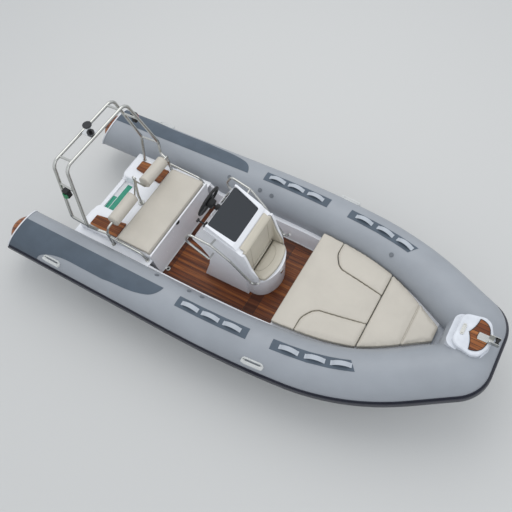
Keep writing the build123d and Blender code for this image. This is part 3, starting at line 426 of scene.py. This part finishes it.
def add_piece(name, mesh, material, body):
    made = bpy.data.objects.new(name, mesh)
    bpy.context.scene.collection.objects.link(made)
    mesh.materials.clear()
    mesh.materials.append(material)
    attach(made, body)
    return made


def smooth_shaded(mesh):
    mesh.polygons.foreach_set("use_smooth", [True] * len(mesh.polygons))
    return mesh


def tube_mesh(name, points, radius, closed=False):
    """A round cord along points, as a mesh."""
    curve = bpy.data.curves.new(name, "CURVE")
    curve.dimensions = "3D"
    curve.bevel_depth = radius
    curve.bevel_resolution = 2
    curve.use_fill_caps = not closed
    spline = curve.splines.new("POLY")
    spline.points.add(len(points) - 1)
    for point, place in zip(spline.points, points):
        point.co = (*place, 1.0)
    spline.use_cyclic_u = closed
    holder = bpy.data.objects.new(name, curve)
    bpy.context.scene.collection.objects.link(holder)
    bpy.context.view_layer.update()
    mesh = bpy.data.meshes.new_from_object(holder)
    bpy.data.objects.remove(holder)
    return smooth_shaded(mesh)


def circle(radius, count, height=0.0):
    """Even points round the z axis."""
    angles = [2 * math.pi * k / count for k in range(count)]
    return [Vector((radius * math.cos(a), radius * math.sin(a), height)) for a in angles]


def finished_mesh(name, shape):
    bmesh.ops.recalc_face_normals(shape, faces=shape.faces)
    mesh = bpy.data.meshes.new(name)
    shape.to_mesh(mesh)
    shape.free()
    return mesh


def lathe(profile, place):
    """Turns a profile of (radius, height) round the z axis of a placing matrix."""
    shape = bmesh.new()
    rings = []
    for radius, height in profile:
        spots = circle(radius, LATHE_SEGMENTS, height) if radius else [Vector((0, 0, height))]
        rings.append([shape.verts.new(place @ spot) for spot in spots])
    for low, high in zip(rings, rings[1:]):
        for k in range(LATHE_SEGMENTS):
            corners = [low[k % len(low)], low[(k + 1) % len(low)]]
            corners += [high[(k + 1) % len(high)], high[k % len(high)]]
            shape.faces.new(list(dict.fromkeys(corners)))
    for ring in (rings[0], rings[-1]):
        if len(ring) > 1:
            shape.faces.new(ring)
    mesh = finished_mesh("lathe", shape)
    mesh.set_sharp_from_angle(angle=SHARP_ANGLE)
    return smooth_shaded(mesh)


def slabs(rows, z_low, z_high, bevel):
    """Flat boards: each row is a convex plan outline."""
    shape = bmesh.new()
    for outline in rows:
        low = [shape.verts.new((x, y, z_low)) for x, y in outline]
        high = [shape.verts.new((x, y, z_high)) for x, y in outline]
        shape.faces.new(low)
        top = shape.faces.new(high)
        for k in range(len(outline)):
            n = (k + 1) % len(outline)
            shape.faces.new((low[k], low[n], high[n], high[k]))
        if bevel:
            bmesh.ops.bevel(
                shape, geom=list(top.edges), offset=bevel, segments=2, affect="EDGES", profile=0.5)
    return finished_mesh("boards", shape)


def rectangle(x_low, x_high, y_low, y_high):
    return [(x_low, y_low), (x_high, y_low), (x_high, y_high), (x_low, y_high)]


def clipped(outline, y_low, y_high):
    """The part of a convex outline between two lines along x."""
    for side, limit in ((1, y_low), (-1, y_high)):
        kept = []
        for (x0, y0), (x1, y1) in zip(outline, outline[1:] + outline[:1]):
            starts_inside = side * (y0 - limit) >= 0
            ends_inside = side * (y1 - limit) >= 0
            if starts_inside:
                kept.append((x0, y0))
            if starts_inside != ends_inside:
                share = (limit - y0) / (y1 - y0)
                kept.append((x0 + share * (x1 - x0), limit))
        outline = kept
    return outline


def top_loop(node):
    """The longest edge round the faces of a CAD node that look up, as a closed ring of points."""
    shape = bmesh.new()
    shape.from_mesh(NODES[node].data)
    bmesh.ops.remove_doubles(shape, verts=shape.verts, dist=WELD)
    shape.normal_update()
    faces = {f for f in shape.faces if f.normal.z > FACES_UP}
    links = {}
    for edge in shape.edges:
        if sum(f in faces for f in edge.link_faces) == 1:
            a, b = edge.verts
            links.setdefault(a, []).append(b)
            links.setdefault(b, []).append(a)
    rings = []
    seen = set()
    for start in links:
        if start in seen:
            continue
        ring = []
        here = start
        while here is not None and here not in seen:
            seen.add(here)
            ring.append(here.co.copy())
            here = next((v for v in links[here] if v not in seen), None)
        rings.append(ring)
    shape.free()
    return max(rings, key=lambda ring: sum((b - a).length for a, b in zip(ring, ring[1:])))


def resampled(points, step, closed, rounds):
    """Even points along a line, with its corners eased."""
    ends = points + points[:1] if closed else points
    made = []
    for a, b in zip(ends, ends[1:]):
        count = max(1, round((b - a).length / step))
        made += [a.lerp(b, k / count) for k in range(count)]
    if not closed:
        made.append(ends[-1])
    for _ in range(rounds):
        eased = []
        for k, p in enumerate(made):
            before, after = made[k - 1], made[(k + 1) % len(made)]
            fixed = not closed and k in (0, len(made) - 1)
            eased.append(p if fixed else (before + after) * 0.25 + p * 0.5)
        made = eased
    return made


# ---------------------------------------------------------------- cushions
CLOTH_FRAMES = 20
CLOTH_PRESSURE = 4.0
AT_REST = 0.8             # share of a point's normal along the rest, from which it stays put
SEAM_STEP = 0.01
PIPING_PROUD = 0.25       # how far piping's middle stands off the surface, as a share of its radius
WELT_R = 0.0022
SEAM_R = 0.0026
PANEL_SEAM_R = 0.0028
UNDER_SEAM_R = 0.0018


class Cushion:
    """A padded piece that stands for a CAD cushion: remeshed, swollen by cloth pressure, then sewn.

    It starts drawn in by the inset, and no point moves past the cap, nor past the sideways cap in plan.
    The face that looks along rest stays flat.
    """

    def __init__(self, node, body, material, voxel, inset, cap, sideways, rest=(0, 0, -1), thinned=None):
        self.node = node
        self.body = body
        self.material = material
        self.cap = cap
        self.sideways = sideways
        self.thinned = thinned
        self.piece = bpy.data.objects.new(node + "_padded", NODES[node].data.copy())
        bpy.context.scene.collection.objects.link(self.piece)
        remesh = self.piece.modifiers.new("even", "REMESH")
        remesh.mode = "VOXEL"
        remesh.voxel_size = voxel
        ease = self.piece.modifiers.new("ease", "SMOOTH")
        ease.factor = 0.5
        ease.iterations = 2
        self.bake()
        points = self.piece.data.vertices
        self.full = [v.co.copy() for v in points]
        self.normals = [v.normal.copy() for v in points]
        self.resting = [rest is not None and n.dot(Vector(rest)) > AT_REST for n in self.normals]
        for v, n in zip(points, self.normals):
            v.co -= n * inset
        self.start = [v.co.copy() for v in points]

    def bake(self):
        bpy.context.view_layer.update()
        made = bpy.data.meshes.new_from_object(
            self.piece.evaluated_get(bpy.context.evaluated_depsgraph_get()))
        self.piece.modifiers.clear()
        self.piece.data = made

    def add_cloth(self):
        cloth = self.piece.modifiers.new("cloth", "CLOTH")
        cloth.settings.use_pressure = True
        cloth.settings.uniform_pressure_force = CLOTH_PRESSURE
        cloth.settings.effector_weights.gravity = 0.0
        cloth.settings.quality = 4
        cloth.point_cache.frame_start = 1
        cloth.point_cache.frame_end = CLOTH_FRAMES

    def settle(self):
        """Keeps what the cloth did within its caps, and puts the piece in the CAD cushion's place."""
        self.bake()
        swollen = [v.co.copy() for v in self.piece.data.vertices]
        ends = zip(self.piece.data.vertices, self.start, self.full, self.resting, swollen)
        for v, start, full, flat, moved in ends:
            reach = moved - start
            reach *= min(1.0, self.cap / max(reach.length, 1e-9))
            across = math.hypot(reach.x, reach.y)
            if across > self.sideways:
                reach.x *= self.sideways / across
                reach.y *= self.sideways / across
            v.co = full if flat else start + reach
        divide = self.piece.modifiers.new("divide", "SUBSURF")
        divide.levels = divide.render_levels = 1
        self.bake()
        mesh = smooth_shaded(self.piece.data)
        mesh.name = self.piece.name
        mesh.materials.clear()
        mesh.materials.append(self.material)
        points = [v.co for v in mesh.vertices]
        self.surface = BVHTree.FromPolygons(points, [p.vertices for p in mesh.polygons])
        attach(self.piece, self.body)
        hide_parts(self.node)
        self.thin(self.piece)

    def thin(self, piece):
        """Gives the piece its own copy of its mesh when the cushion has a thinned entry."""
        if self.thinned:
            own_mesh(piece)

    def seam(self, name, points, radius, closed=False, rounds=2):
        """Piping sewn on the swollen surface along a line near it."""
        laid = []
        for p in resampled([Vector(p) for p in points], SEAM_STEP, closed, rounds):
            spot, normal, _, _ = self.surface.find_nearest(p)
            laid.append(spot + normal * radius * PIPING_PROUD)
        laid = resampled(laid, SEAM_STEP, closed, 1)
        mesh = tube_mesh(name, laid, radius, closed)
        self.thin(add_piece(self.node + "_" + name, mesh, PIPING, self.body))


DECK_CUSHIONS = (         # node, body, voxel, cap
    ("bow_cushion_main", "boat", 0.012, 0.012),
    ("bow_cushion_port", "boat", 0.010, 0.012),
    ("bow_cushion_starboard", "boat", 0.010, 0.012),
    ("bow_cushion_forward", "boat", 0.010, 0.012),
    ("bow_cushion_tip", "boat", 0.010, 0.012),
    ("seat_cushion", "after_seat_lid", 0.012, 0.013),
)
DECK_INSET = 0.0005
DECK_SIDEWAYS = 0.0025
PAD_KEEP = 0.66           # share of its thickness that the console's pad keeps with its lid up


def make_cushions():
    deck = [Cushion(node, body, VINYL, voxel, DECK_INSET, cap, DECK_SIDEWAYS)
            for node, body, voxel, cap in DECK_CUSHIONS]
    pad = Cushion("console_seat_pad", "console_lid", SEAT_VINYL,
                  voxel=0.007, inset=DECK_INSET, cap=0.009, sideways=0.002,
                  thinned=("console_seat_hinge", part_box("console_seat_pad")[0].z, PAD_KEEP))
    back = Cushion("console_backrest", "boat", SEAT_VINYL,
                   voxel=0.0065, inset=0.003, cap=0.006, sideways=0.006, rest=(-1, 0, 0))
    bolsters = [Cushion(side + "_bolster", "boat", VINYL,
                        voxel=0.008, inset=0.005, cap=0.007, sideways=0.007, rest=None)
                for side in ("port", "starboard")]
    everything = [*deck, pad, back, *bolsters]
    for cushion in everything:
        cushion.add_cloth()
    for number in range(1, CLOTH_FRAMES + 1):
        bpy.context.scene.frame_set(number)
    for cushion in everything:
        cushion.settle()
    for cushion in (*deck, pad):
        cushion.seam("top_welt", top_loop(cushion.node), WELT_R, closed=True)
    sew_backrest(back)
    make_foot_roll()
    sew_seat_pad(pad)
    for bolster, side in zip(bolsters, (1, -1)):
        sew_bolster(bolster, side)


BACK_FACE_X = 2.735
BACK_SEAM_Z = (0.845, 0.66, 0.470)
PANEL_HALF = 0.165
BACK_EDGE_HALF = 0.252
BACK_EDGE = ((2.74, 0.86), (2.765, 0.78), (2.80, 0.64), (2.852, 0.50))  # x, z


def sew_backrest(back):
    """The seam under the console backrest's top roll, and those of its side panels."""
    roll = [(BACK_FACE_X, y / 100, BACK_SEAM_Z[0]) for y in range(-24, 25, 2)]
    back.seam("roll_seam", roll, SEAM_R)
    for side, name in ((1, "port_panel"), (-1, "starboard_panel")):
        back.seam(name, [(BACK_FACE_X, side * PANEL_HALF, z) for z in BACK_SEAM_Z], PANEL_SEAM_R)
        back.seam(name + "_edge", [(x, side * BACK_EDGE_HALF, z) for x, z in BACK_EDGE], WELT_R)


FOOT_ROLL_X = (2.7004, 2.728)
FOOT_ROLL_Z = (0.4006, 0.452)
FOOT_ROLL_HALF = 0.234
FOOT_ROLL_ROUND = 0.012


def make_foot_roll():
    """The soft bead along the backrest's foot."""
    outline = rectangle(*FOOT_ROLL_X, -FOOT_ROLL_HALF, FOOT_ROLL_HALF)
    mesh = smooth_shaded(slabs([outline], *FOOT_ROLL_Z, FOOT_ROLL_ROUND))
    roll = add_piece("backrest_foot_roll", mesh, SEAT_VINYL, "boat")
    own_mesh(roll)


SEAT_PANEL = ((2.752, 0.175), (2.80, 0.172), (2.845, 0.10), (2.862, 0.0))  # x, y of its port half
SEAT_PANEL_Z = 0.46


def sew_seat_pad(pad):
    """The inner panel of the console's seat."""
    starboard = [(x, -y, SEAT_PANEL_Z) for x, y in SEAT_PANEL]
    port = [(x, y, SEAT_PANEL_Z) for x, y in reversed(SEAT_PANEL[:-1])]
    pad.seam("inner_seam", starboard + port, SEAM_R, closed=True, rounds=5)


BOLSTER_INNER = Vector((1.168, 0.096, 0.694))
BOLSTER_OUTER = Vector((1.163, 0.480, 0.676))
BOLSTER_R = 0.08
WELT_IN = 0.014           # a bolster's end piping, in from its end
WELT_POINTS = 40
UNDER_SEAM = (0.02, 0.37)  # along a bolster from its inner end
UNDER_SEAM_STEPS = 20


def sew_bolster(bolster, side):
    """End piping and a lengthwise seam on a round bolster."""
    mirror = Vector((1, side, 1))
    inner = BOLSTER_INNER * mirror
    outer = BOLSTER_OUTER * mirror
    run = (outer - inner).normalized()
    across = run.cross(Vector((0, 0, 1))).normalized()
    lift = across.cross(run)
    for end, shift, name in ((inner, WELT_IN, "inner_welt"), (outer, -WELT_IN, "outer_welt")):
        ring = [end + run * shift + across * p.x + lift * p.y for p in circle(BOLSTER_R, WELT_POINTS)]
        bolster.seam(name, ring, WELT_R, closed=True)
    first, last = UNDER_SEAM
    step = (last - first) / UNDER_SEAM_STEPS
    along = [inner + run * (first + step * k) - lift * BOLSTER_R for k in range(UNDER_SEAM_STEPS + 1)]
    bolster.seam("under_seam", along, UNDER_SEAM_R)


# ---------------------------------------------------------------- planked floor
SOLE_Z = 0.052
TEAK_Z = 0.060
BOARD_FOOT_Z = SOLE_Z + 0.001
BOARD_BEVEL = 0.0008
CAULK_DOWN = 0.0008
PLANK_PITCH = 0.050
PLANK_ROWS = 11           # to each side of the middle
CAULK = 0.004
MARGIN = 0.055
CROSS_BOARD = (2.735, 2.855)
BED_IN = 0.0005
BOARDS_IN = 0.001
BEAD_R = 0.005
SEAT_BEAD_R = 0.004
SEAT_BEAD_HALF = 0.50
STATION_GAP = 0.01        # corners of the floor's plan nearer to a cut than this are dropped
DRAIN_AT = (1.712, -0.443, TEAK_Z)
DRAIN_RING = ((0.0, 0.0008), (0.015, 0.0008), (0.017, 0.003), (0.021, 0.0042), (0.026, 0.003),
              (0.028, 0.0))
DRAIN_HOLE = ((0.0, 0.0018), (0.012, 0.0018), (0.0145, 0.001))


def mirrored(outline):
    """The outline's mirror image to starboard, in the order that carries it on."""
    return [(x, -y) for x, y in outline[::-1]]


def floor_side(inset, x_low, x_high):
    """The port side of the floor's plan, drawn in and cut to a length."""
    port = sorted({(round(p.x, 4), round(p.y, 4)) for p in top_loop("floor_teak") if p.y > 0})

    def half(x):
        for (x0, y0), (x1, y1) in zip(port, port[1:]):
            if x0 <= x <= x1 and x1 > x0:
                return y0 + (y1 - y0) * (x - x0) / (x1 - x0) - inset
        return port[-1][1] - inset

    between = [x for x, _ in port if x_low + STATION_GAP < x < x_high - STATION_GAP]
    return [(x, half(x)) for x in (x_low, *between, x_high)]


def floor_outline(inset, x_low, x_high):
    side = floor_side(inset, x_low, x_high)
    return side + mirrored(side)


def make_caulk(first, last):
    """The black bed that shows between the boards."""
    outline = floor_outline(BED_IN, first + BED_IN, last)
    bed = add_piece(
        "floor_caulk", slabs([outline], SOLE_Z, TEAK_Z - CAULK_DOWN, 0), CAULK_BLACK, "boat")
    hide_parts("floor_teak")


def make_planks(first, last):
    """Planks fore and aft, on both sides of the cross board."""
    planks = []
    for x_low, x_high in ((first + MARGIN, CROSS_BOARD[0] - CAULK), (CROSS_BOARD[1] + CAULK, last - MARGIN)):
        outline = floor_outline(MARGIN, x_low, x_high)
        for row in range(-PLANK_ROWS, PLANK_ROWS):
            y_low = row * PLANK_PITCH + CAULK / 2
            board = clipped(outline, y_low, y_low + PLANK_PITCH - CAULK)
            if len(board) > 2:
                planks.append(board)
    add_piece("floor_planks", slabs(planks, BOARD_FOOT_Z, TEAK_Z, BOARD_BEVEL), TEAK, "boat")


def make_margins(first, last):
    """Darker boards along the floor's edges and across it."""
    start = first + BOARDS_IN
    outer = floor_side(BOARDS_IN, start, last)
    inner = floor_side(MARGIN - CAULK, start, last)
    boards = []
    for k in range(len(outer) - 1):
        port = [outer[k], outer[k + 1], inner[k + 1], inner[k]]
        boards += [port, mirrored(port)]
    for x_low, x_high in ((start, first + MARGIN - CAULK), CROSS_BOARD, (last - MARGIN + CAULK, last)):
        boards.append(floor_outline(MARGIN, x_low, x_high))
    add_piece("floor_margins", slabs(boards, BOARD_FOOT_Z, TEAK_Z, BOARD_BEVEL), TEAK_DARK, "boat")


def make_beads(first, last):
    """White sealant where the floor meets the cockpit's sides and the seat."""
    edge = floor_side(-BOARDS_IN, first + BOARDS_IN, last)
    for side, name in ((1, "port"), (-1, "starboard")):
        line = [Vector((x, side * y, TEAK_Z)) for x, y in edge]
        add_piece(name + "_floor_bead", tube_mesh("bead", line, BEAD_R), WHITE_SEALANT, "boat")
    front = [Vector((first - BOARDS_IN, y, TEAK_Z)) for y in (-SEAT_BEAD_HALF, SEAT_BEAD_HALF)]
    add_piece("seat_floor_bead", tube_mesh("bead", front, SEAT_BEAD_R), WHITE_SEALANT, "boat")


def make_drain():
    drain = Matrix.Translation(DRAIN_AT)
    add_piece("floor_drain", lathe(DRAIN_RING, drain), STEEL_WITH_PAINTED_REFLECTION, "boat")
    add_piece("floor_drain_hole", lathe(DRAIN_HOLE, drain), CAULK_BLACK, "boat")


def make_floor():
    low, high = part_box("floor_teak")
    first = low.x
    last = high.x - BED_IN
    make_caulk(first, last)
    make_planks(first, last)
    make_margins(first, last)
    make_beads(first, last)
    make_drain()


# ---------------------------------------------------------------- trim
WELL_Z = 0.290
TAPE_T = 0.0012
TAPE_BEVEL = 0.0004
AFTER_TAPE_X = (0.6625, 0.714)
FORWARD_TAPE_X = (0.721, 0.791)
JOINT_IN = 0.012          # the bow cushions' joining strip, in from the tip cushion's sides
JOINT_REACH = 0.006       # how far it runs under each cushion
JOINT_DOWN = (0.05, 0.006)  # its foot and its top, below the cushions' tops
TEAK_EDGE_R = 0.0028
TEAK_EDGE_UP = 0.0005


def add_tape(name, x, y, material):
    """A thin adhesive strip in the well."""
    outline = rectangle(*x, *y)
    add_piece(name, slabs([outline], WELL_Z, WELL_Z + TAPE_T, TAPE_BEVEL), material, "boat")


def make_tapes():
    add_tape("after_tape", AFTER_TAPE_X, (-0.200, -0.004), TEAL)
    add_tape("after_white_tape", AFTER_TAPE_X, (-0.002, 0.226), WHITE_SEALANT)
    add_tape("forward_tape", FORWARD_TAPE_X, (-0.210, 0.205), TEAL)


def make_cushion_joint():
    """A strip of upholstery that closes the gap between the two foremost bow cushions."""
    after_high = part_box("bow_cushion_forward")[1]
    tip_low, tip_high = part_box("bow_cushion_tip")
    half = tip_high.y - JOINT_IN
    outline = rectangle(after_high.x - JOINT_REACH, tip_low.x + JOINT_REACH, -half, half)
    mesh = slabs([outline], after_high.z - JOINT_DOWN[0], after_high.z - JOINT_DOWN[1], 0)
    add_piece("bow_cushion_joint", mesh, VINYL, "boat")


def make_teak_edge():
    ring = [p + Vector((0, 0, TEAK_EDGE_UP)) for p in top_loop("bow_teak")]
    mesh = tube_mesh("edge", ring, TEAK_EDGE_R, closed=True)
    add_piece("bow_teak_edge", mesh, CAULK_BLACK, "boat")


LENS_AT = (0.817, 0.600, 1.104)
LENS_R = 0.031
LENS_HALF = 0.030
RIB_R = (0.0335, 0.035)   # the foot and the crest of a rib
RIB_HALF = 0.002
RIB_PITCH = 0.0065
RIB_START = -0.026
RIBS = 9


def make_lights():
    """Ribbed side lenses in the black housings."""
    foot, crest = RIB_R
    profile = [(0.0, -LENS_HALF), (LENS_R, -LENS_HALF)]
    for k in range(RIBS):
        z = RIB_START + k * RIB_PITCH
        profile += [(foot, z - RIB_HALF), (crest, z), (foot, z + RIB_HALF)]
    profile += [(LENS_R, LENS_HALF), (0.0, LENS_HALF)]
    x, y, z = LENS_AT
    port = Matrix.Translation((x, y, z))
    starboard = Matrix.Translation((x, -y, z))
    add_piece("port_lens", lathe(profile, port), RED_LENS, "boat")
    add_piece("starboard_lens", lathe(profile, starboard), GREEN_LENS, "boat")


# ---------------------------------------------------------------- helm
WHEEL_AT = Vector((2.177, 0, 1.088))
WHEEL_TILT = math.radians(20)
GRIP_R = 0.1595
GRIP_THICK = 0.0155
GRIP_POINTS = 72
HUB_PAD = ((0.0, 0.024), (0.040, 0.023), (0.070, 0.017), (0.082, 0.008), (0.082, 0.002),
           (0.074, -0.004), (0.0, -0.004))
HUB_SHROUD = ((0.0, -0.068), (0.044, -0.068), (0.050, -0.060), (0.056, -0.012), (0.050, -0.004),
              (0.0, -0.004))
DASH_FACING = Vector((-0.832, 0, 0.555))
DIAL_X = 2.280
DIAL_Z = 1.030
DIAL_UP = 0.009           # the gauges stand this far off the dash
DIAL_Y = {"inner": 0.110, "outer": 0.184}
BEZEL = ((0.028, 0.0), (0.0285, 0.003), (0.031, 0.004), (0.0335, 0.002), (0.0335, -0.003),
         (0.031, -0.004))
DIAL_FACE = ((0.0, 0.0008), (0.006, 0.0012), (0.027, 0.0008), (0.0285, 0.0))


def facing_matrix(direction):
    """Turns the z axis to a direction."""
    return direction.to_track_quat("Z", "Y").to_matrix().to_4x4()


def make_wheel():
    """The wheel's hub pad, its shroud and the grip round its rim."""
    to_helm = Vector((-math.cos(WHEEL_TILT), 0, math.sin(WHEEL_TILT)))
    hub = Matrix.Translation(WHEEL_AT) @ facing_matrix(to_helm)
    add_piece("wheel_hub_pad", lathe(HUB_PAD, hub), BLACK, "wheel")
    add_piece("wheel_hub_shroud", lathe(HUB_SHROUD, hub), BLACK, "wheel")
    rim = [hub @ p for p in circle(GRIP_R, GRIP_POINTS)]
    add_piece("wheel_grip", tube_mesh("grip", rim, GRIP_THICK, closed=True), BLACK, "wheel")


def make_dials():
    """Bezels and blank faces on the dash's two gauges."""
    turn = facing_matrix(DASH_FACING)
    for name, y in DIAL_Y.items():
        place = Matrix.Translation(Vector((DIAL_X, y, DIAL_Z)) + DASH_FACING * DIAL_UP) @ turn
        add_piece(name + "_dial_bezel", lathe(BEZEL, place), STEEL_WITH_PAINTED_REFLECTION, "boat")
        add_piece(name + "_dial_face", lathe(DIAL_FACE, place), DIAL, "boat")


# ---------------------------------------------------------------- finishes
GELCOAT = gelcoat()
TUBE = coated_fabric("tube_fabric", TUBE_GREY)
SLATE = non_slip("slate_patch", PATCH_SLATE)
TEAK = teak("teak_planks", PLANK_TONES)
TEAK_DARK = teak("teak_margins", MARGIN_TONES)
CAP_TEAK = teak("teak_caps", CAP_TONES, pitch=0.060, shift=0.010, upright=True)
TEAK_SEAMED = teak("teak_panels", PANEL_TONES, pitch=0.043, shift=0.0115)
CAULK_BLACK = moulded("caulk", SEALANT_BLACK, 0.7)
WHITE_SEALANT = moulded("white_sealant", SEALANT_WHITE, 0.5)
VINYL = vinyl("cream_vinyl", CUSHION_CREAM)
SEAT_VINYL = vinyl("console_vinyl", CONSOLE_CREAM)
PIPING = vinyl("cream_piping", PIPING_CREAM)
STEEL_WITH_PAINTED_REFLECTION = stainless()
BLACK = moulded("black_moulding", PLASTIC_BLACK, 0.55)
DIAL = moulded("dial_face", DIAL_BLACK, 0.25)
TEAL = moulded("teal_tape", TAPE_GREEN, 0.45)
RED_LENS = lens("red_lens", LENS_RED)
GREEN_LENS = lens("green_lens", LENS_GREEN)


def dress_nodes():
    dress(GELCOAT, "hull", "transom", "aft_deck", "cockpit_liner", "seat_box", "seat_lid", "console_body",
          "windscreen_frame")
    dress(lid_finish(), "console_seat_lid")
    dress(moulded("bow_plate_gelcoat", BOW_PLATE_WHITE, 0.25), "bow_plate")
    dress(locker_finish(), "bow_locker")
    dress(TUBE, "port_tube", "starboard_tube", "bow_tube")
    dress(coated_fabric("white_fabric", RING_WHITE), "tube_end_rings")
    dress(coated_fabric("navy_rubber", STRAKE_NAVY, 0.4), "rub_strake")
    dress(SLATE, "stern_pads", "strap_pads")
    dress(coated_fabric("webbing", WEBBING_GREY, 0.6), "strap_loops")
    dress(moulded("white_moulding", MOULDED_WHITE), "grab_handles")
    dress(moulded("valve_grey", VALVE_GREY), "air_valves")
    dress(TEAK_SEAMED, "step_teak", "bow_teak")
    dress(CAP_TEAK, "tube_end_caps")
    dress(STEEL_WITH_PAINTED_REFLECTION, "arch", "arch_after_hoop", "arch_bars", "bolster_arms", "seat_rails", "tow_post",
          "console_rails", "bolster_brackets", "roller_bracket", "bow_cleat", "console_latch")
    dress(BLACK, "seat_latch", "helm_boss", "gauges", "throttle", "bow_roller", "steering_wheel",
          "port_sidelight", "starboard_sidelight")
    dress(lamp_finish(), "all_round_light")
    dress(tinted(), "windscreen")


add_camera()
add_sky()
add_lamps()
add_studio_floor()
dress_nodes()
make_cushions()
make_floor()
make_tapes()
make_cushion_joint()
make_teak_edge()
make_lights()
make_wheel()
make_dials()
